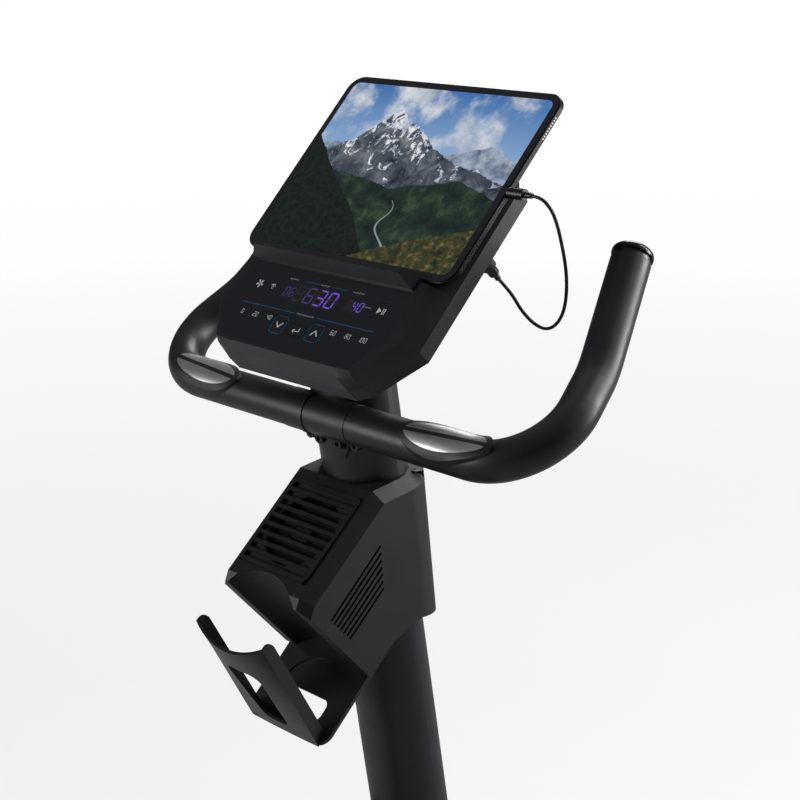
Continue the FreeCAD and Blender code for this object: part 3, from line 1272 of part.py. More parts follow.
PORT = (126, 50)
PORT_INNER = 26
PORT_FACE = 42.6


def make_console_rear(wall):
    low, high = -18 - d.band_height, -18
    band = prism(mirrored(BAND), low, high)
    back = Part.makeLoft([level([(82, -113), (97, -106), (134, -60), (134, 118), (128, 124)], low),
                          level([(62, -98), (72, -92), (92, -52), (92, 60), (84, 68)], low - 26)], True, True)
    room = prism(mirrored([(81, -110), (95.5, -103.2), (131, -59), (131, 117), (126.5, 121)]), low, high)
    cave = Part.makeLoft([level([(81, -110), (95.5, -103.2), (131, -59), (131, 117), (126.5, 121)], low),
                          level([(60, -95), (70, -89.5), (89.5, -51), (89.5, 59), (82.5, 65.5)], low - 23.4)],
                         True, True)
    boss = Part.makeCylinder(7.5, PORT_FACE - PORT_INNER, Vector(*PORT, -PORT_FACE))
    rear = band.fuse(back).cut(room).cut(cave).fuse(boss)
    rear.Placement = CONSOLE
    rear = rear.cut(neck_oval(0, 0, d.neck_length))
    rear = max(rear.Solids, key=lambda piece: piece.Volume)
    shaped("console_rear", rear)


def make_tablet():
    body = new_body("tablet", CONSOLE)
    right, top = d.tablet_width / 2, d.tablet_height
    face = sketch(body, lift="-tablet_thickness")
    draw(face, [(-right, 0.2), (right, 0.2), (right, top), (-right, top)], 17)
    pad(body, face, "tablet_thickness")
    dress(body, "Chamfer", 0.8, lambda e: e.BoundBox.ZLength < 0.01)


LEAD_ROUTE = [(174.5, 76.2, 72.3), (181, 79.5, 67), (184, 86.5, 55.5), (183.5, 96, 34), (181, 108, 3),
              (176.5, 114, -25), (170, 114.5, -44), (162, 108, -53.5), (154, 98.5, -49), (146, 88.5, -35.5),
              (134, 89, -22.5), (126.5, 84, -12.4)]


def make_lead():
    side = CONSOLE.multVec(Vector(140.3, 105, -3.2))
    port = CONSOLE.multVec(Vector(*PORT, -PORT_FACE))
    out = CONSOLE.Rotation.multVec(-Z_AXIS)
    points = [side + X_AXIS * 26] + head(*LEAD_ROUTE) + [port + out * 18]
    radii = []
    for k in range(1, len(points) - 1):
        into, away = points[k] - points[k - 1], points[k + 1] - points[k]
        turn = into.getAngle(away)
        radii.append(0.45 * min(into.Length, away.Length) / math.tan(turn / 2))
    path = path_wire(points, radii)
    print("charge lead: length", round(path.Length, 1), "radii", [round(r, 1) for r in radii])
    lead = tube_along(path, d.lead_radius)
    expected = math.pi * d.lead_radius ** 2 * path.Length
    if abs(lead.Volume - expected) > 0.01 * expected:
        raise ValueError("the lead's volume does not match its length")
    shaped("charge_lead", lead)

    def plug(face, away, length):
        relief = rod(2.8, face + away * (length - 8), face + away * length)
        return rod(5.2, face, face + away * (length - 8)).fuse(relief)

    shaped("lead_plugs", Part.makeCompound([plug(side, X_AXIS, 26), plug(port, out, 18)]))


def finish():
    doc.recompute()
    for item in doc.Objects:
        if "Invalid" in item.State or "Error" in item.State:
            raise RuntimeError(f"{item.Label} is not up to date")
    os.makedirs("parts", exist_ok=True)
    for item in NODES:
        if item.Shape.isNull() or not item.Shape.isValid():
            raise RuntimeError(f"{item.Label} has no valid shape")
        item.Shape.exportStep(f"parts/{item.Label}.step")
        print(item.Label, len(item.Shape.Solids), round(item.Shape.Volume / 1000, 1))
    print(len(NODES), "nodes")


make_base_frame()
make_stabilizer("front_stabilizer", "stabilizer_front")
make_stabilizer("rear_stabilizer", "stabilizer_rear", feet=True)
make_end_caps()
make_wheel("transport_wheel_left", -1)
make_wheel("transport_wheel_right", 1)
make_levelling_foot("levelling_foot_left", -1)
make_levelling_foot("levelling_foot_right", 1)
make_crank_axle()
make_bearings()
make_drive_pulley()
make_crank_arm("crank_arm_right", 1, RIGHT_CRANK)
make_crank_arm("crank_arm_left", -1, LEFT_CRANK)
make_pedal_spindles()
make_pedal("pedal_right", 1)
make_pedal("pedal_left", -1)
make_pedal_strap("pedal_strap_right", 1)
make_pedal_strap("pedal_strap_left", -1)
make_drive_belt()
make_idler()
make_flywheel()
make_brake()
make_shrouds()
make_power_inlet()
make_saddle()
make_mast()
make_handlebar()
make_clamp()
make_pulse_sensors()
make_fan_housing()
make_fan()
make_bottle_holder()
make_console()
make_tablet()
make_lead()
finish()
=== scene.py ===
import json
import math

import bpy
import bmesh
from mathutils import Matrix, Vector


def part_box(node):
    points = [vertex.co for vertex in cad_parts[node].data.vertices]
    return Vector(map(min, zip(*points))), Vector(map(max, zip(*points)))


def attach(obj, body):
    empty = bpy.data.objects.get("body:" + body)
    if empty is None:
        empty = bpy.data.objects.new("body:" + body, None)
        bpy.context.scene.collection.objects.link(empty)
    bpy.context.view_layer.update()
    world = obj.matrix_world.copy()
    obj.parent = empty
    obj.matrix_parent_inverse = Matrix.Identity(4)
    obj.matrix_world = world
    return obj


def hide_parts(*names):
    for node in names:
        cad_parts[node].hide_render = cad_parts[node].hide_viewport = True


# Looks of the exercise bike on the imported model: finishes for the CAD nodes, the control panel's
# graphics, the tablet's front, the charge lead and the saddle's padded cover. Metres, +Z up, and
# numbers given in millimetres are multiplied by MM.

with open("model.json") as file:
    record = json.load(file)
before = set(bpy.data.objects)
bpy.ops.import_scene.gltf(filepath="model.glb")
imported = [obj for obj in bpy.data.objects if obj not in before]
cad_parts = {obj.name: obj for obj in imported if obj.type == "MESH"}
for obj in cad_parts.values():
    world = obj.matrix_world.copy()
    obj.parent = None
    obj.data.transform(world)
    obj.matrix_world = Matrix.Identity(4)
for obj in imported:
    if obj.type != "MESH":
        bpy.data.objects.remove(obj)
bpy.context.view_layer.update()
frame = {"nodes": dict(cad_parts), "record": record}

MM = 0.001

# The console's slope, whose origin is the middle of the tablet's lower front edge.
RECLINE = math.radians(44.56)
TABLET_EDGE = Vector((0, 0.255, 1.230))
SLOPE_UP = Vector((0, math.sin(RECLINE), math.cos(RECLINE)))
SLOPE_OUT = Vector((0, -math.cos(RECLINE), math.sin(RECLINE)))
SLOPE = Matrix.Translation(TABLET_EDGE) @ Matrix(
    ((1, 0, 0), (0, SLOPE_UP.y, SLOPE_OUT.y), (0, SLOPE_UP.z, SLOPE_OUT.z))
).to_4x4()


# ---- camera and charge lead -------------------------------------------------------------------

# The camera fitted to the photo, its place measured from the tablet's lower edge.
LENS, SENSOR_WIDTH = 76.2, 36
AZIMUTH, ELEVATION = math.radians(45.78), math.radians(15.68)
CAMERA_FROM_TABLET = Vector((1.138, -1.030, 0.300))


def make_camera():
    data = bpy.data.cameras.new("camera")
    data.lens = LENS
    data.sensor_width = SENSOR_WIDTH
    data.clip_end = 200
    camera = bpy.data.objects.new("camera", data)
    bpy.context.scene.collection.objects.link(camera)
    look = Vector((-math.sin(AZIMUTH) * math.cos(ELEVATION), math.cos(AZIMUTH) * math.cos(ELEVATION),
                   -math.sin(ELEVATION)))
    camera.location = TABLET_EDGE + CAMERA_FROM_TABLET
    camera.rotation_euler = look.to_track_quat("-Z", "Y").to_euler()
    bpy.context.scene.camera = camera


# The lead's two ends, in millimetres on the slope, and the points between, in millimetres from the
# tablet's lower edge along the world's axes.
TABLET_PLUG, CONSOLE_PLUG = (166.3, 105, -3.2), (126, 50, -60.6)
LEAD_RADIUS = 1.6
LEAD_ROUTE = [(174.5, 76.2, 72.3), (181, 79.5, 67), (184, 86.5, 55.5), (183.5, 96, 34), (181, 108, 3),
              (176.5, 114, -25), (170, 114.5, -44), (162, 108, -53.5), (154, 98.5, -49), (146, 88.5, -35.5),
              (134, 89, -22.5), (126.5, 84, -12.4)]


def make_lead(material):
    """The charge lead from the plug in the tablet's side to the plug in the console's back."""
    start = SLOPE @ (Vector(TABLET_PLUG) * MM)
    end = SLOPE @ (Vector(CONSOLE_PLUG) * MM)
    points = [start] + [TABLET_EDGE + Vector(p) * MM for p in LEAD_ROUTE] + [end]
    curve = bpy.data.curves.new("charge_cable", "CURVE")
    curve.dimensions = "3D"
    curve.bevel_depth = LEAD_RADIUS * MM
    curve.bevel_resolution = 6
    curve.resolution_u = 16
    spline = curve.splines.new("NURBS")
    spline.points.add(len(points) - 1)
    for point, place in zip(spline.points, points):
        point.co = (*place, 1)
    spline.order_u = 3
    spline.use_endpoint_u = True
    cable = bpy.data.objects.new("charge_cable", curve)
    bpy.context.scene.collection.objects.link(cable)
    curve.materials.append(material)
    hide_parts("charge_lead")
    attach(cable, "root")


# ---- materials --------------------------------------------------------------------------------

class Paint:
    """A node tree on one Principled shader, with short calls for the nodes used here."""

    def __init__(self, name):
        self.material = bpy.data.materials.new(name)
        self.material.use_nodes = True
        self.tree = self.material.node_tree
        self.shader = self.tree.nodes["Principled BSDF"]
        self.place = self.node("ShaderNodeTexCoord").outputs["Object"]

    def node(self, kind, **settings):
        item = self.tree.nodes.new(kind)
        for name, setting in settings.items():
            setattr(item, name, setting)
        return item

    def link(self, source, socket):
        self.tree.links.new(source, socket)

    def set(self, **values):
        for name, setting in values.items():
            self.shader.inputs[name.replace("_", " ")].default_value = setting
        return self

    def noise(self, scale, detail=2.0, roughness=0.5, place=None, distortion=0.0):
        item = self.node("ShaderNodeTexNoise")
        item.inputs["Scale"].default_value = scale
        item.inputs["Detail"].default_value = detail
        item.inputs["Roughness"].default_value = roughness
        item.inputs["Distortion"].default_value = distortion
        self.link(place or self.place, item.inputs["Vector"])
        return item.outputs["Fac"]

    def stretched(self, x, y, z):
        item = self.node("ShaderNodeVectorMath", operation="MULTIPLY")
        self.link(self.place, item.inputs[0])
        item.inputs[1].default_value = (x, y, z)
        return item.outputs[0]

    def ramp(self, source, stops, smooth=False):
        item = self.node("ShaderNodeValToRGB")
        item.color_ramp.interpolation = "EASE" if smooth else "LINEAR"
        ramp = item.color_ramp.elements
        while len(ramp) < len(stops):
            ramp.new(0.5)
        for element, (position, color) in zip(ramp, stops):
            element.position = position
            element.color = (*color, 1) if isinstance(color, tuple) else (color, color, color, 1)
        self.link(source, item.inputs["Fac"])
        return item.outputs["Color"]

    def math(self, operation, a, b=0.0, c=0.0, clamp=False):
        item = self.node("ShaderNodeMath", operation=operation, use_clamp=clamp)
        for socket, term in zip(item.inputs, (a, b, c)):
            if isinstance(term, (int, float)):
                socket.default_value = term
            else:
                self.link(term, socket)
        return item.outputs[0]

    def mix(self, factor, a, b, blend="MIX"):
        item = self.node("ShaderNodeMix", data_type="RGBA", blend_type=blend)
        for index, term in ((0, factor), (6, a), (7, b)):
            socket = item.inputs[index]
            if isinstance(term, (int, float)):
                socket.default_value = term if index == 0 else (term, term, term, 1)
            elif isinstance(term, tuple):
                socket.default_value = (*term, 1)
            else:
                self.link(term, socket)
        return item.outputs[2]

    def bump(self, *layers):
        """Layers are (height, strength, distance), coarse first."""
        last = None
        for height, strength, distance in layers:
            item = self.node("ShaderNodeBump")
            item.inputs["Strength"].default_value = strength
            item.inputs["Distance"].default_value = distance
            self.link(height, item.inputs["Height"])
            if last:
                self.link(last, item.inputs["Normal"])
            last = item.outputs["Normal"]
        self.link(last, self.shader.inputs["Normal"])
        return self

    def color(self, source):
        self.link(source, self.shader.inputs["Base Color"])
        return self

    def rough(self, source, low, high):
        self.link(self.ramp(source, [(0.25, low), (0.75, high)]), self.shader.inputs["Roughness"])
        return self


def shade(color, factor):
    return tuple(min(1.0, part * factor) for part in color)


def plastic(name, color, low=0.42, high=0.56, grain=1400, depth=0.35, fleck=0.10):
    """Moulded plastic: fine spark-erosion grain, slow tone drift and uneven gloss."""
    paint = Paint(name)
    drift = paint.noise(9, 3)
    fine = paint.noise(grain, 2, 0.6)
    tone = paint.ramp(drift, [(0.3, shade(color, 1 - fleck)), (0.7, shade(color, 1 + fleck))])
    speck = paint.ramp(fine, [(0.35, 0.82), (0.7, 1.15)])
    paint.color(paint.mix(1.0, tone, speck, "MULTIPLY"))
    paint.rough(paint.noise(30, 4, 0.6), low, high)
    paint.bump((fine, depth, 0.00012))
    return paint.set(Specular_IOR_Level=0.4).material


def paint_metal(name, color, low=0.3, high=0.42):
    """Powder coat: a faint orange peel over an even tone."""
    paint = Paint(name)
    peel = paint.noise(420, 2)
    tone = paint.noise(5, 3)
    paint.color(paint.ramp(tone, [(0.3, shade(color, 0.92)), (0.7, shade(color, 1.08))]))
    paint.rough(paint.noise(60, 4, 0.6), low, high)
    paint.bump((peel, 0.22, 0.00025))
    return paint.set(Specular_IOR_Level=0.45).material


def rubber(name, color, low=0.45, high=0.6, grain=900, depth=0.3):
    paint = Paint(name)
    fine = paint.noise(grain, 3, 0.6)
    tone = paint.noise(14, 3)
    paint.color(paint.ramp(tone, [(0.3, shade(color, 0.88)), (0.7, shade(color, 1.12))]))
    paint.rough(paint.noise(45, 3, 0.6), low, high)
    paint.bump((fine, depth, 0.0002))
    return paint.set(Specular_IOR_Level=0.35).material


def metal(name, color, low, high, stretch=(1, 1, 1), scale=900, depth=0.08):
    """Metal with brush or turning marks: noise stretched along the marks."""
    paint = Paint(name)
    marks = paint.noise(scale, 3, 0.65, paint.stretched(*stretch))
    paint.color(paint.ramp(marks, [(0.3, shade(color, 0.85)), (0.7, color)]))
    paint.rough(marks, low, high)
    paint.bump((marks, depth, 0.00008))
    return paint.set(Metallic=1.0).material


def make_finishes():
    """One material for each slot in the record."""
    return {
        "frame_paint": paint_metal("frame_paint", (0.016, 0.0165, 0.019)),
        "trim_plastic": plastic("trim_plastic", (0.011, 0.011, 0.0125)),
        "wheel_plastic": plastic("wheel_plastic", (0.016, 0.016, 0.018)),
        "foot_rubber": rubber("foot_rubber", (0.012, 0.012, 0.012)),
        "shroud_plastic": plastic("shroud_plastic", (0.014, 0.0145, 0.0165), 0.46, 0.6, 1100, 0.4),
        "machined_steel": metal("machined_steel", (0.55, 0.55, 0.56), 0.22, 0.4),
        "pulley_aluminium": metal("pulley_aluminium", (0.6, 0.6, 0.62), 0.25, 0.42),
        "crank_paint": paint_metal("crank_paint", (0.012, 0.0125, 0.0145)),
        "strap_rubber": rubber("strap_rubber", (0.01, 0.01, 0.011)),
        "belt_rubber": rubber("belt_rubber", (0.01, 0.01, 0.01)),
        "flywheel_iron": paint_metal("flywheel_iron", (0.06, 0.06, 0.065), 0.4, 0.6),
        "post_chrome": metal("post_chrome", (0.72, 0.72, 0.74), 0.06, 0.16, (1, 1, 0.2), 500, 0.03),
        "saddle_cover": leather("saddle_cover", (0.012, 0.012, 0.0135)),
        "mast_paint": paint_metal("mast_paint", (0.0095, 0.010, 0.012), 0.36, 0.5),
        "housing_plastic": housing("housing_plastic", (0.0050, 0.0050, 0.0055)),
        "grille_plastic": plastic("grille_plastic", (0.010, 0.010, 0.0115), 0.4, 0.52),
        "holder_plastic": plastic("holder_plastic", (0.011, 0.011, 0.0125), 0.3, 0.42, 1200, 0.2),
        "bar_paint": paint_metal("bar_paint", (0.012, 0.012, 0.014), 0.3, 0.4),
        "clamp_plastic": plastic("clamp_plastic", (0.011, 0.0115, 0.0135), 0.36, 0.48, 1300, 0.2),
        "bolt_steel": metal("bolt_steel", (0.05, 0.05, 0.052), 0.25, 0.4),
        "grip_rubber": rubber("grip_rubber", (0.014, 0.0143, 0.0165), 0.34, 0.46, 800, 0.25),
        "pad_steel": metal("pad_steel", (0.74, 0.735, 0.72), 0.30, 0.42, (0.06, 1, 1), 1600, 0.10),
        "cap_plastic": plastic("cap_plastic", (0.010, 0.010, 0.0115), 0.2, 0.32, 1500, 0.1),
        "console_plastic": plastic("console_plastic", (0.0165, 0.0172, 0.0205), 0.34, 0.46, 1400, 0.22),
        "band_plastic": plastic("band_plastic", (0.032, 0.0325, 0.036), 0.5, 0.66, 1000, 0.7, 0.14),
        "overlay_gloss": overlay_gloss("overlay_gloss"),
        "key_gloss": overlay_gloss("key_gloss"),
        "tablet_aluminium": metal("tablet_aluminium", (0.022, 0.022, 0.024), 0.34, 0.46, scale=300),
        "lead_jacket": rubber("lead_jacket", (0.010, 0.010, 0.011), 0.35, 0.5),
        "plug_plastic": plastic("plug_plastic", (0.010, 0.010, 0.011), 0.3, 0.42),
        "board_green": plastic("board_green", (0.006, 0.05, 0.022), 0.3, 0.45),
    }


def leather(name, color):
    """Vinyl cover: cell-like grain, fine creases with painted shade in them, and a soft sheen."""
    paint = Paint(name)
    cells = paint.node("ShaderNodeTexVoronoi", feature="DISTANCE_TO_EDGE")
    cells.inputs["Scale"].default_value = 620
    paint.link(paint.place, cells.inputs["Vector"])
    crease = paint.ramp(cells.outputs["Distance"], [(0.0, 0.0), (0.12, 1.0)])
    tone = paint.ramp(paint.noise(12, 3), [(0.3, shade(color, 0.85)), (0.7, shade(color, 1.15))])
    # The grain's creases are painted darker, down to 0.7 of the tone, as painted shade.
    paint.color(paint.mix(1.0, tone, paint.ramp(crease, [(0.0, 0.7), (1.0, 1.0)]), "MULTIPLY"))
    paint.rough(paint.noise(40, 4, 0.6), 0.42, 0.56)
    paint.bump((paint.noise(90, 3), 0.25, 0.0008), (crease, 0.35, 0.0002))
    return paint.set(Specular_IOR_Level=0.45, Sheen_Weight=0.08, Sheen_Roughness=0.4).material


def housing(name, color):
    """The fan housing's plastic, lighter and more speckled on its upward-facing chamfered strip, partly as
    the strip's own lighter trim colour and partly as painted light where it faces the lamps.
    """
    paint = Paint(name)
    fine = paint.noise(1300, 2, 0.6)
    coarse = paint.noise(900, 2, 0.7)
    normal = paint.node("ShaderNodeSeparateXYZ")
    paint.link(paint.node("ShaderNodeNewGeometry").outputs["True Normal"], normal.inputs[0])
    across = paint.math("ABSOLUTE", normal.outputs["X"])
    strip = paint.math("MULTIPLY", paint.math("COMPARE", across, 0.7071, 0.05),
                       paint.math("GREATER_THAN", normal.outputs["Z"], 0.2))
    tone = paint.ramp(paint.noise(8, 3), [(0.3, shade(color, 0.9)), (0.7, shade(color, 1.1))])
    # The upward-facing chamfer strip is painted 1.9 to 2.7 times lighter: partly its own lighter trim colour,
    # partly painted light where it faces the lamps.
    light = paint.ramp(coarse, [(0.35, shade(color, 1.9)), (0.7, shade(color, 2.7))])
    paint.color(paint.mix(strip, tone, light))
    paint.rough(paint.noise(30, 4, 0.6), 0.44, 0.6)
    paint.bump((fine, 0.3, 0.00012))
    return paint.set(Specular_IOR_Level=0.4).material


def overlay_gloss(name):
    """Glossy printed sheet: nearly black, very slightly wavy, with faint wipe marks."""
    paint = Paint(name)
    wave = paint.noise(26, 2)
    tint = (0.0082, 0.0088, 0.0137)
    paint.color(paint.ramp(paint.noise(7, 2), [(0.3, shade(tint, 0.91)), (0.7, shade(tint, 1.09))]))
    paint.rough(paint.noise(70, 5, 0.7), 0.10, 0.19)
    paint.bump((wave, 0.06, 0.0006))
    return paint.set(Specular_IOR_Level=0.5, Coat_Weight=0.25, Coat_Roughness=0.08).material


def dress_frame(finishes):
    for entry in frame["record"]["subparts"]:
        node = frame["nodes"][entry["node"]]
        node.data.materials.clear()
        node.data.materials.append(finishes[entry["material_slot"]])


# ---- mesh helpers -----------------------------------------------------------------------------

def piece(name, mesh, material, body="root"):
    item = bpy.data.objects.new(name, mesh)
    bpy.context.scene.collection.objects.link(item)
    mesh.materials.append(material)
    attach(item, body)
    return item


def polygons(name, shapes, place, thickness):
    """Flat shapes given as lists of (x, y) millimetres, raised by a thickness, as one mesh."""
    built = bmesh.new()
    for shape in shapes:
        low = [built.verts.new((x * MM, y * MM, 0)) for x, y in shape]
        face = built.faces.new(low)
        raised = bmesh.ops.extrude_face_region(built, geom=[face])
        verts = [v for v in raised["geom"] if isinstance(v, bmesh.types.BMVert)]
        bmesh.ops.translate(built, verts=verts, vec=(0, 0, thickness * MM))
    bmesh.ops.recalc_face_normals(built, faces=built.faces)
    bmesh.ops.transform(built, matrix=place, verts=built.verts)
    mesh = bpy.data.meshes.new(name)
    built.to_mesh(mesh)
    built.free()
    return mesh


def bar(x0, y0, x1, y1, width):
    """A straight stroke as a four-cornered shape."""
    along = Vector((x1 - x0, y1 - y0)).normalized() * (width / 2)
    side = Vector((-along.y, along.x))
    return [(x0 - side.x, y0 - side.y), (x1 - side.x, y1 - side.y), (x1 + side.x, y1 + side.y),
            (x0 + side.x, y0 + side.y)]


def stroke(points, width):
    """A straight stroke between each point and the next."""
    return [bar(*a, *b, width) for a, b in zip(points, points[1:])]


SEGMENTS = {"0": "abcdef", "1": "bc", "2": "abged", "3": "abgcd", "4": "fgbc", "6": "afgedc", "8": "abcdefg"}


def digit(character, x, y, width, height, thick, lit=True):
    """Seven-segment strokes; lit=False gives the strokes that stay dark."""
    gap = thick * 0.25
    left, right, low, high, middle = x, x + width, y, y + height, y + height / 2
    lean = 0.10

    def at(px, py):
        return px + (py - y) * lean, py

    spans = {"a": ((left, high), (right, high)), "b": ((right, high), (right, middle)),
             "c": ((right, middle), (right, low)), "d": ((left, low), (right, low)),
             "e": ((left, low), (left, middle)), "f": ((left, middle), (left, high)),
             "g": ((left, middle), (right, middle))}
    shapes = []
    for name, (start, end) in spans.items():
        if (name in SEGMENTS.get(character, "")) is not lit:
            continue
        a, b = Vector(at(*start)), Vector(at(*end))
        along = (b - a).normalized()
        side = Vector((-along.y, along.x)) * (thick / 2)
        a, b = a + along * gap, b - along * gap
        tip = along * (thick / 2)
        outline = (a, a + tip - side, b - tip - side, b, b - tip + side, a + tip + side)
        shapes.append([tuple(corner) for corner in outline])
    return shapes


# ---- control panel graphics -------------------------------------------------------------------

# Rows of the panel, in millimetres up the slope from the tablet's lower edge.
UPPER_LINE, ICON_ROW, LOWER_LINE, NUMBER_ROW, KEY_ROW = -27.4, -39.5, -61.4, -71.6, -76.5

# How far the panel stands above the slope, and how thick its graphics are, in millimetres.
PANEL_RISE = 3
WINDOW_THICKNESS, UNLIT_THICKNESS, PRINT_THICKNESS = 0.036, 0.072, 0.12


def glow(name, color, strength):
    """Printed or lit graphics: the color with a little light of its own and fine grain."""
    paint = Paint(name)
    fine = paint.noise(2500, 2)
    paint.color(paint.ramp(fine, [(0.3, shade(color, 0.9)), (0.7, color)]))
    paint.set(Roughness=0.35, Emission_Strength=strength)
    light = paint.ramp(fine, [(0.3, shade(color, 0.85)), (0.7, color)])
    paint.link(light, paint.shader.inputs["Emission Color"])
    return paint.material


def number(text, x, y, size, width):
    """Thin seven-segment numerals for the printed scale."""
    shapes = []
    step = size * 0.80
    start = x - step * (len(text) - 1) / 2 - size * 0.25
    for index, character in enumerate(text):
        shapes += digit(character, start + index * step, y - size / 2, size * 0.5, size, width)
    return shapes


def fan_icon(x, y, size):
    shapes = []
    for k in range(5):
        turn = math.radians(72 * k + 20)
        outline = [(0.1, 0), (0.45, 0.10), (0.85, 0.42), (0.62, 0.62), (0.30, 0.42)]
        shapes.append([(x + size * (px * math.cos(turn) - py * math.sin(turn)),
                        y + size * (px * math.sin(turn) + py * math.cos(turn))) for px, py in outline])
    return shapes


def wave_icon(x, y, size):
    """A plain wireless mark: a dot with two arcs."""
    shapes = [[(x + size * 0.16 * math.cos(a), y - size * 0.5 + size * 0.16 * math.sin(a))
               for a in (math.radians(45 * k) for k in range(8))]]
    for radius in (0.55, 0.95):
        arc = [(x + size * radius * math.cos(a), y - size * 0.5 + size * radius * math.sin(a))
               for a in (math.radians(50 + 10 * k) for k in range(9))]
        shapes += stroke(arc, size * 0.17)
    return shapes


def frame_lines(x, y, width, height, thick):
    """A box with clipped corners, as a key's printed edge."""
    right, top, cut = width / 2, height / 2, 2.4
    corners = [(x - right + cut, y - top), (x + right - cut, y - top), (x + right, y - top + cut),
               (x + right, y + top - cut), (x + right - cut, y + top), (x - right + cut, y + top),
               (x - right, y + top - cut), (x - right, y - top + cut), (x - right + cut, y - top)]
    return stroke(corners, thick)


def caption(x, y, length):
    """A row of short ticks standing in for a small printed word."""
    step, half = 1.7, 0.75
    places = [x - length / 2 + step * k for k in range(int(length / step))]
    return [bar(place, y - half, place, y + half, 0.7 + 0.25 * (k % 2)) for k, place in enumerate(places)]


def printed(name, shapes, material, body="root", thickness=PRINT_THICKNESS):
    """Graphics on the control panel as one thin piece."""
    top = SLOPE @ Matrix.Translation((0, 0, PANEL_RISE * MM))
    return piece(name, polygons(name, shapes, top, thickness), material, body)


def make_panel_graphics():
    make_display()
    blue = glow("print_blue", (0.006, 0.060, 0.125), 0.35)
    white = glow("print_white", (0.42, 0.43, 0.42), 0.45)
    make_prints(blue, white)
    make_key_marks(blue, white)


def make_display():
    """The digits that are lit, faintly lit and dark, over a window for each number."""
    lit = glow("display_lit", (0.13, 0.062, 0.48), 0.95)
    low = glow("display_low", (0.060, 0.036, 0.20), 0.55)
    dim = glow("display_dark", (0.030, 0.027, 0.026), 0.30)
    border, last_gap = 2.2, 1.2
    digits_on, digits_low, digits_off, windows = [], [], [], []
    for text, faint, x, y, width, height, thick, step in (("06", 2, -41.5, -46, 4.6, 9.5, 0.9, 7.6),
                                                          (" 630", 2, -27, -49, 9.4, 16, 1.5, 14.6),
                                                          (" 40", 0, 43, -46, 4.6, 9.5, 0.9, 7.6)):
        for index, character in enumerate(text):
            place = (x + index * step, y, width, height, thick)
            strokes = digit(character, *place)
            if index < faint:
                digits_low += strokes
            else:
                digits_on += strokes
            digits_off += digit(character, *place, lit=False)
        left, below = x - border, y - border
        right, above = x + len(text) * step - last_gap, y + height + border
        windows.append([(left, below), (right, below), (right, above), (left, above)])
    glass = glow("display_window", (0.0125, 0.0115, 0.0115), 0.12)
    printed("display_windows", windows, glass, thickness=WINDOW_THICKNESS)
    printed("display_lit_digits", digits_on, lit)
    printed("display_low_digits", digits_low, low)
    printed("display_unlit_digits", digits_off, dim, thickness=UNLIT_THICKNESS)


def make_prints(blue, white):
    """The blue lines, the icons and the scale's numbers, and ticks in place of words."""
    lines = []
    for start, end, row, width in ((-22, -3, UPPER_LINE, 0.7), (14, 33.8, UPPER_LINE, 0.7),
                                   (-86.8, -12.3, LOWER_LINE, 0.8), (19.7, 93.1, LOWER_LINE, 0.8)):
        lines += stroke([(start, row), (end, row)], width)
    printed("panel_lines", lines, blue)
    marks = fan_icon(-79, ICON_ROW, 5.0) + wave_icon(-60, ICON_ROW, 4.6)
    for text, x in (("0", -78.4), ("20", -59.5), ("40", -40.1), ("60", 48.2), ("80", 67.2), ("100", 86.2)):
        marks += number(text, x, NUMBER_ROW, 4.6, 0.42)
    printed("panel_marks", marks, white)
    captions = []
    for x, y, length in ((-38, UPPER_LINE, 12), (5, UPPER_LINE, 12), (50, UPPER_LINE, 16),
                         (3.7, LOWER_LINE, 24), (69, ICON_ROW, 12)):
        captions += caption(x, y, length)
    printed("panel_captions", captions, glow("print_grey", (0.20, 0.20, 0.20), 0.30))


def make_key_marks(blue, white):
    """Edges and arrows on the two arrow keys, and plain symbols on the enter and start keys."""
    for body, x, flip in (("key_down", -22, -1), ("key_up", 27, 1)):
        printed(f"{body}_edge", frame_lines(x, KEY_ROW, 17.6, 18.6, 0.6), blue, body)
        foot = KEY_ROW - flip * 2.6
        arrow = stroke([(x - 4.4, foot), (x, KEY_ROW + flip * 2.8), (x + 4.4, foot)], 1.2)
        printed(f"{body}_arrow", arrow, white, body)
    enter = stroke([(6.6, -74.6), (6.6, -79.0), (-1.2, -79.0)], 0.7)
    enter += stroke([(1.0, -77.0), (-1.4, -79.0), (1.0, -81.0)], 0.7)
    printed("key_enter_mark", enter, white, "key_enter")
    play = [[(82.2, -43.2), (87.2, -40.0), (82.2, -36.8)]] + stroke([(89.0, -43.0), (89.0, -37.0)], 0.9)
    play += stroke([(91.2, -43.0), (91.2, -37.0)], 0.9)
    printed("key_start_mark", play, white, "key_start_stop")


# ---- tablet -----------------------------------------------------------------------------------

# The tablet in millimetres, and its bezel's and screen's width, lower and upper edge and corner radius.
TABLET_WIDTH, TABLET_THICKNESS = 280.6, 6.4
BEZEL, SCREEN = (278.2, 1.4, 213.7, 16), (263.6, 8.6, 206.4, 8)

# The picture's size in metres, and the height of its lower edge above the tablet's, as a share of its own.
PICTURE_WIDTH, PICTURE_HEIGHT, PICTURE_LOW = 0.264, 0.198, 0.043


def rounded(width, low, high, radius, steps=10):
    """A rounded rectangle as (x, y) points, from low to high and centred in x."""
    right = width / 2
    points = []
    for cx, cy, start in ((right - radius, low + radius, -90), (right - radius, high - radius, 0),
                          (-right + radius, high - radius, 90), (-right + radius, low + radius, 180)):
        for k in range(steps + 1):
            turn = math.radians(start + 90 * k / steps)
            points.append((cx + radius * math.cos(turn), cy + radius * math.sin(turn)))
    return points


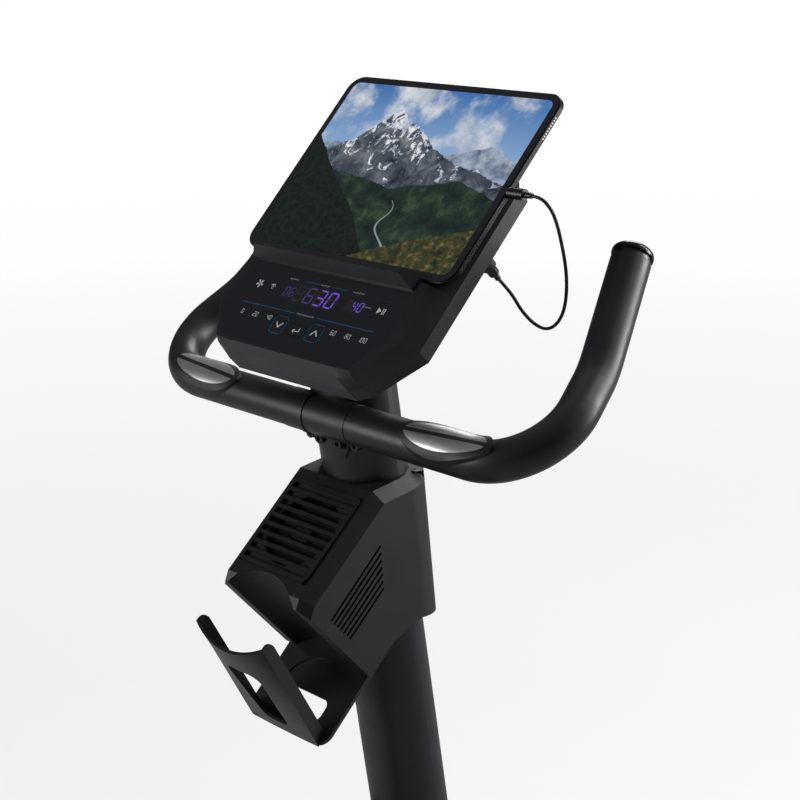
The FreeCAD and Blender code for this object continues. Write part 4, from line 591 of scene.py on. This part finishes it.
def landscape(name):
    """A made-up mountain valley: sky, cloud, a far ridge, a snowy peak, meadow, wood, a stream and a bank."""
    paint = Paint(name)
    local = paint.node("ShaderNodeVectorMath", operation="SUBTRACT")
    paint.link(paint.place, local.inputs[0])
    local.inputs[1].default_value = tuple(TABLET_EDGE)
    rise = paint.node("ShaderNodeVectorMath", operation="DOT_PRODUCT")
    paint.link(local.outputs[0], rise.inputs[0])
    rise.inputs[1].default_value = tuple(SLOPE_UP)
    side = paint.node("ShaderNodeSeparateXYZ")
    paint.link(local.outputs[0], side.inputs[0])
    u = paint.math("MULTIPLY_ADD", side.outputs["X"], 1 / PICTURE_WIDTH, 0.5)
    v = paint.math("MULTIPLY_ADD", rise.outputs["Value"], 1 / PICTURE_HEIGHT, -PICTURE_LOW)
    spot = paint.node("ShaderNodeCombineXYZ")
    paint.link(u, spot.inputs["X"])
    paint.link(paint.math("MULTIPLY", v, 0.75), spot.inputs["Y"])
    flat = spot.outputs[0]

    def cut(height, soft=0.004):
        """1 below a ridge height, 0 above it."""
        return paint.math("MULTIPLY", paint.math("SUBTRACT", height, v), 1 / soft, clamp=True)

    def along(stops, amount, scale, seed):
        """A ridge height over u, roughened by noise along u."""
        spread = paint.node("ShaderNodeCombineXYZ")
        paint.link(u, spread.inputs["X"])
        spread.inputs["Y"].default_value = seed
        rough = paint.noise(scale, 8, 0.62, spread.outputs[0])
        curve = paint.ramp(u, stops)
        return paint.math("ADD", curve, paint.math("MULTIPLY", paint.math("SUBTRACT", rough, 0.5), amount))

    sky = paint.ramp(v, [(0.55, (0.30, 0.48, 0.72)), (1.0, (0.045, 0.17, 0.46))])
    puff = paint.noise(4.2, 7, 0.58, flat, 0.25)
    cloud = paint.ramp(puff, [(0.44, 0.0), (0.62, 1.0)], True)
    shaded = paint.ramp(paint.noise(7.5, 5, 0.6, flat),
                        [(0.3, (0.34, 0.40, 0.52)), (0.65, (0.86, 0.89, 0.94))])
    picture = paint.mix(cloud, sky, shaded)
    far = along([(0.0, 0.60), (0.3, 0.66), (0.62, 0.62), (0.85, 0.70), (1.0, 0.64)], 0.10, 5, 3.1)
    haze = paint.ramp(paint.noise(15, 6, 0.65, flat),
                      [(0.35, (0.10, 0.15, 0.23)), (0.62, (0.42, 0.50, 0.62))])
    picture = paint.mix(cut(far), picture, haze)
    crest = [(0.0, 0.52), (0.18, 0.64), (0.33, 0.86), (0.40, 0.80), (0.52, 0.72), (0.70, 0.60), (1.0, 0.50)]
    peak = along(crest, 0.13, 9, 7.7)
    facets = paint.noise(11, 9, 0.68, flat, 0.6)
    rock = paint.ramp(facets, [(0.36, (0.012, 0.017, 0.028)), (0.50, (0.07, 0.085, 0.11)),
                               (0.66, (0.22, 0.24, 0.27))])
    patches = paint.noise(17, 8, 0.7, flat, 0.9)
    snow_line = paint.math("ADD", patches, paint.math("MULTIPLY_ADD", v, 0.42, -0.30))
    snow = paint.ramp(snow_line, [(0.50, 0.0), (0.54, 1.0)])
    white = paint.ramp(facets, [(0.38, (0.30, 0.37, 0.50)), (0.56, (0.90, 0.93, 0.97))])
    picture = paint.mix(cut(peak), picture, paint.mix(snow, rock, white))
    meadow = paint.ramp(paint.noise(13, 9, 0.66, flat, 0.4),
                        [(0.36, (0.003, 0.010, 0.009)), (0.54, (0.012, 0.032, 0.020)),
                         (0.68, (0.060, 0.085, 0.045))])
    hills = [(0.0, 0.36), (0.25, 0.46), (0.5, 0.40), (0.8, 0.50), (1.0, 0.42)]
    picture = paint.mix(cut(along(hills, 0.09, 7, 1.3)), picture, meadow)
    wood = paint.ramp(paint.noise(42, 5, 0.7, flat),
                      [(0.38, (0.001, 0.003, 0.003)), (0.64, (0.006, 0.016, 0.011))])
    slope = [(0.0, 0.66), (0.2, 0.44), (0.42, 0.22), (0.55, 0.05), (1.0, 0.0)]
    picture = paint.mix(cut(along(slope, 0.07, 12, 9.4)), picture, wood)
    bend = paint.math("MULTIPLY_ADD", paint.math("SINE", paint.math("MULTIPLY", v, 26.0)), 0.030, 0.55)
    bend = paint.math("ADD", bend, paint.math("MULTIPLY", paint.math("SUBTRACT", 0.3, v), 0.30))
    off = paint.math("ABSOLUTE", paint.math("SUBTRACT", u, bend))
    width = paint.math("MULTIPLY_ADD", paint.math("SUBTRACT", 0.36, v), 0.020, 0.0008)
    stream = paint.math("MULTIPLY", paint.math("LESS_THAN", off, width), paint.math("LESS_THAN", v, 0.34))
    picture = paint.mix(stream, picture, (0.26, 0.32, 0.34))
    grass = paint.ramp(paint.noise(30, 8, 0.7, flat, 0.3),
                       [(0.36, (0.008, 0.016, 0.006)), (0.54, (0.055, 0.055, 0.018)),
                        (0.70, (0.26, 0.20, 0.07))])
    bank = [(0.0, 0.0), (0.5, 0.0), (0.66, 0.10), (0.85, 0.19), (1.0, 0.26)]
    picture = paint.mix(cut(along(bank, 0.06, 14, 5.5)), picture, grass)
    paint.set(Base_Color=(0.004, 0.004, 0.005, 1), Roughness=0.12, Emission_Strength=0.85)
    paint.link(picture, paint.shader.inputs["Emission Color"])
    return paint.material


def make_tablet():
    """The bezel, the screen and the speaker holes along the tablet's side."""
    face = SLOPE @ Matrix.Translation((0, 0, 0.02 * MM))
    bezel = overlay_gloss("bezel_gloss")
    piece("tablet_bezel", polygons("tablet_bezel", [rounded(*BEZEL)], face, 0.3), bezel)
    piece("tablet_screen", polygons("tablet_screen", [rounded(*SCREEN)], face, 0.36),
          landscape("screen_picture"))
    edge = SLOPE @ Matrix.Translation((TABLET_WIDTH / 2 * MM, 0, -TABLET_THICKNESS / 2 * MM))
    edge = edge @ Matrix.Rotation(math.radians(90), 4, "Y")
    radius, pitch = 0.75, 3.0
    holes = []
    for start in (22, 166):
        for k in range(9):
            centre = start + pitch * k
            holes.append([(radius * math.cos(a), centre + radius * math.sin(a))
                          for a in (math.radians(45 * j) for j in range(8))])
    piece("tablet_speaker_holes", polygons("tablet_speaker_holes", holes, edge, 0.05), bezel)


# ---- saddle -----------------------------------------------------------------------------------

def copy_of(node, name):
    mesh = frame["nodes"][node].data.copy()
    mesh.name = name
    mesh.materials.clear()
    item = bpy.data.objects.new(name, mesh)
    bpy.context.scene.collection.objects.link(item)
    return item


def apply_modifier(item, modifier):
    bpy.context.view_layer.objects.active = item
    item.select_set(True)
    bpy.ops.object.modifier_apply(modifier=modifier.name)


def smooth(item):
    for face in item.data.polygons:
        face.use_smooth = True


def shape_saddle(item, low, high):
    """Crown the pad: a lower rounded nose, a raised back and a shallow channel down the middle."""
    nose_drop, hollow, edge_drop, clearance = 0.014, 0.004, 0.010, 0.003
    channel_depth, channel_half, pull_in = 0.0035, 0.009, 0.004
    middle = (low + high) / 2
    length = high.y - low.y
    height = high.z - low.z
    for vertex in item.data.vertices:
        place = vertex.co
        forward = (place.y - low.y) / length
        up = (place.z - low.z) / height
        across = abs(place.x - middle.x)
        drop = nose_drop * max(0.0, (forward - 0.45) / 0.55) ** 1.4 + hollow * math.sin(math.pi * forward)
        crown = edge_drop * min(1.0, across / (0.5 * (high.x - low.x))) ** 2
        fade = min(1.0, max(0.0, 1.25 - abs(forward - 0.5) * 2))
        channel = channel_depth * math.exp(-(across / channel_half) ** 2) * fade
        place.z -= up ** 2 * (drop + crown + channel + clearance)
        waist = pull_in * math.sin(math.pi * min(1.0, max(0.0, up)))
        place.x -= math.copysign(waist, place.x - middle.x) * 0.5


def puff(item, low, cap):
    """A short pressure simulation, with every point's movement capped and the underside held."""
    held_height, frames = 0.006, 20
    rest = [vertex.co.copy() for vertex in item.data.vertices]
    held = item.vertex_groups.new(name="held")
    held.add([v.index for v in item.data.vertices if v.co.z < low.z + held_height], 1.0, "REPLACE")
    cloth = item.modifiers.new("cover", "CLOTH")
    cloth.settings.use_pressure = True
    cloth.settings.uniform_pressure_force = 4
    cloth.settings.effector_weights.gravity = 0
    cloth.settings.vertex_group_mass = "held"
    cloth.point_cache.frame_end = frames
    scene = bpy.context.scene
    for moment in range(1, frames + 1):
        scene.frame_set(moment)
    apply_modifier(item, cloth)
    for vertex, start in zip(item.data.vertices, rest):
        moved = vertex.co - start
        if moved.length > cap:
            vertex.co = start + moved.normalized() * cap


def sew(item, low, high):
    """Press the seam between the top panel and the sides, and two sewn lines that fade at the nose."""
    seam_depth, line_depth, half_width = 0.0022, 0.0016, 0.0024
    middle = (low + high) / 2
    for vertex in item.data.vertices:
        place, normal = vertex.co, vertex.normal
        forward = (place.y - low.y) / (high.y - low.y)
        seam_height = low.z + 0.030 - 0.008 * max(0.0, forward - 0.4)
        side = seam_depth * math.exp(-((place.z - seam_height) / half_width) ** 2) * (1 - abs(normal.z))
        curve = 0.030 + 0.045 * (1 - min(1.0, forward)) ** 2
        top = line_depth * math.exp(-((abs(place.x - middle.x) - curve) / half_width) ** 2)
        top *= max(0.0, normal.z) ** 4
        vertex.co = place - normal * (side + top * min(1.0, max(0.0, (0.85 - forward) * 6)))


def make_saddle(finishes):
    """The padded cover: a slightly smaller copy of the pad, remeshed, shaped, puffed and sewn."""
    narrower, shorter, voxel, cap = 0.965, 0.97, 0.0055, 0.006
    low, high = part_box("saddle_pad")
    low, high = Vector(low), Vector(high)
    pad = copy_of("saddle_pad", "saddle_cushion")
    middle = (low + high) / 2
    for vertex in pad.data.vertices:
        vertex.co.x = middle.x + (vertex.co.x - middle.x) * narrower
        vertex.co.y = middle.y + (vertex.co.y - middle.y) * shorter
    remesh = pad.modifiers.new("voxels", "REMESH")
    remesh.mode = "VOXEL"
    remesh.voxel_size = voxel
    apply_modifier(pad, remesh)
    shape_saddle(pad, low, high)
    puff(pad, low, cap)
    divide = pad.modifiers.new("smooth", "SUBSURF")
    divide.levels = 1
    divide.render_levels = 1
    apply_modifier(pad, divide)
    sew(pad, low, high)
    smooth(pad)
    pad.data.materials.append(finishes["saddle_cover"])
    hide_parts("saddle_pad")
    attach(pad, "seat_carriage")


# ---- studio -----------------------------------------------------------------------------------

def area_light(name, place, aim, size, power, size_y=None):
    data = bpy.data.lights.new(name, "AREA")
    data.energy = power
    data.size = size
    if size_y:
        data.shape = "RECTANGLE"
        data.size_y = size_y
    light = bpy.data.objects.new(name, data)
    bpy.context.scene.collection.objects.link(light)
    light.location = place
    light.rotation_euler = (Vector(aim) - Vector(place)).to_track_quat("-Z", "Y").to_euler()


# The room's brightness, which lights the bike and shows in its gloss, from straight down (0) through the
# horizon (0.5) to straight up (1). The backdrop adds no light or reflection to the bike.
ROOM_TONES = [(0.0, 0.42), (0.40, 0.36), (0.50, 0.07), (0.62, 0.04), (0.80, 0.12), (1.0, 0.22)]


# The backdrop's size in metres, the sides of its rim, and the distance over which it brightens.
BACKDROP_RADIUS, BACKDROP_HEIGHT, BACKDROP_SIDES, BRIGHTENING = 40, 30, 72, 16


def make_room():
    """The world's light, in level bands from the floor to the ceiling."""
    world = bpy.data.worlds.new("studio")
    world.use_nodes = True
    tree = world.node_tree
    toward = tree.nodes.new("ShaderNodeTexCoord").outputs["Generated"]
    split = tree.nodes.new("ShaderNodeSeparateXYZ")
    tree.links.new(toward, split.inputs[0])
    rise = tree.nodes.new("ShaderNodeMapRange")
    rise.inputs["From Min"].default_value = -1
    tree.links.new(split.outputs["Z"], rise.inputs["Value"])
    sky = tree.nodes.new("ShaderNodeValToRGB")
    stops = sky.color_ramp.elements
    while len(stops) < len(ROOM_TONES):
        stops.new(0.5)
    for stop, (position, tone) in zip(stops, ROOM_TONES):
        stop.position = position
        stop.color = (tone * 0.97, tone * 0.98, tone, 1)
    tree.links.new(rise.outputs["Result"], sky.inputs["Fac"])
    tree.links.new(sky.outputs["Color"], tree.nodes["Background"].inputs["Color"])
    bpy.context.scene.world = world
    bpy.context.scene.view_settings.view_transform = "Standard"


def make_backdrop():
    """A pale round floor with a wall, which brightens away from the bike."""
    built = bmesh.new()
    turns = [math.radians(360 / BACKDROP_SIDES * k) for k in range(BACKDROP_SIDES)]
    rim = [(BACKDROP_RADIUS * math.cos(turn), BACKDROP_RADIUS * math.sin(turn)) for turn in turns]
    low = [built.verts.new((x, y, 0)) for x, y in rim]
    high = [built.verts.new((x, y, BACKDROP_HEIGHT)) for x, y in rim]
    built.faces.new(low)
    for k in range(BACKDROP_SIDES):
        after = (k + 1) % BACKDROP_SIDES
        built.faces.new((low[k], high[k], high[after], low[after]))
    mesh = bpy.data.meshes.new("backdrop")
    built.to_mesh(mesh)
    built.free()
    floor = bpy.data.objects.new("backdrop", mesh)
    bpy.context.scene.collection.objects.link(floor)
    floor.visible_diffuse = False
    floor.visible_glossy = False
    paint = Paint("backdrop")
    far = paint.node("ShaderNodeVectorMath", operation="LENGTH")
    paint.link(paint.place, far.inputs[0])
    reach = paint.math("MULTIPLY", far.outputs["Value"], 1 / BRIGHTENING, clamp=True)
    white = paint.ramp(reach, [(0.0, 0.63), (0.12, 0.69), (0.25, 0.85), (0.42, 0.95), (1.0, 1.0)])
    paint.color(paint.ramp(paint.noise(0.6, 3), [(0.3, (0.22, 0.22, 0.22)), (0.7, (0.225, 0.225, 0.225))]))
    paint.set(Roughness=0.8, Specular_IOR_Level=0.05, Emission_Strength=1.0)
    paint.link(white, paint.shader.inputs["Emission Color"])
    mesh.materials.append(paint.material)


def make_lights():
    """As the rider sits: a box ahead on the left, a strip and a small high box ahead on the right, and a
    fill behind on the left."""
    area_light("left_box", (-0.8, 1.9, 2.8), (0, 0.2, 1.1), 1.2, 44)
    area_light("right_strip", (1.75, 2.5, 1.8), (0.1, 0.3, 1.1), 0.45, 80, size_y=1.9)
    area_light("front_fill", (-1.5, -2.1, 1.3), (0, 0.2, 1.1), 1.1, 38)
    area_light("top_right", (1.1, 1.6, 2.9), (0, 0.2, 1.1), 0.8, 20)


def bevel_edges():
    """Small rounded edges on the larger hard CAD pieces, so that they catch the light."""
    widths = {"fan_grille": 0.4, "console_overlay": 0.5, "console_front": 0.7, "stabilizer_end_caps": 1.0,
              "base_frame": 1.2, "saddle_base": 1.2}
    for name in ("console_rear", "fan_housing", "fan_rear_cover", "bottle_holder", "shroud_left",
                 "shroud_right", "seat_carriage", "pedal_left", "pedal_right", "crank_arm_left",
                 "crank_arm_right"):
        widths[name] = 0.8
    sharp = math.radians(35)
    for name, width in widths.items():
        bevel = frame["nodes"][name].modifiers.new("edges", "BEVEL")
        bevel.width = width * MM
        bevel.segments = 2
        bevel.limit_method = "ANGLE"
        bevel.angle_limit = sharp
        bevel.harden_normals = True


def main():
    make_camera()
    finishes = make_finishes()
    make_lead(finishes["lead_jacket"])
    dress_frame(finishes)
    make_panel_graphics()
    make_tablet()
    make_saddle(finishes)
    bevel_edges()
    make_room()
    make_backdrop()
    make_lights()


main()
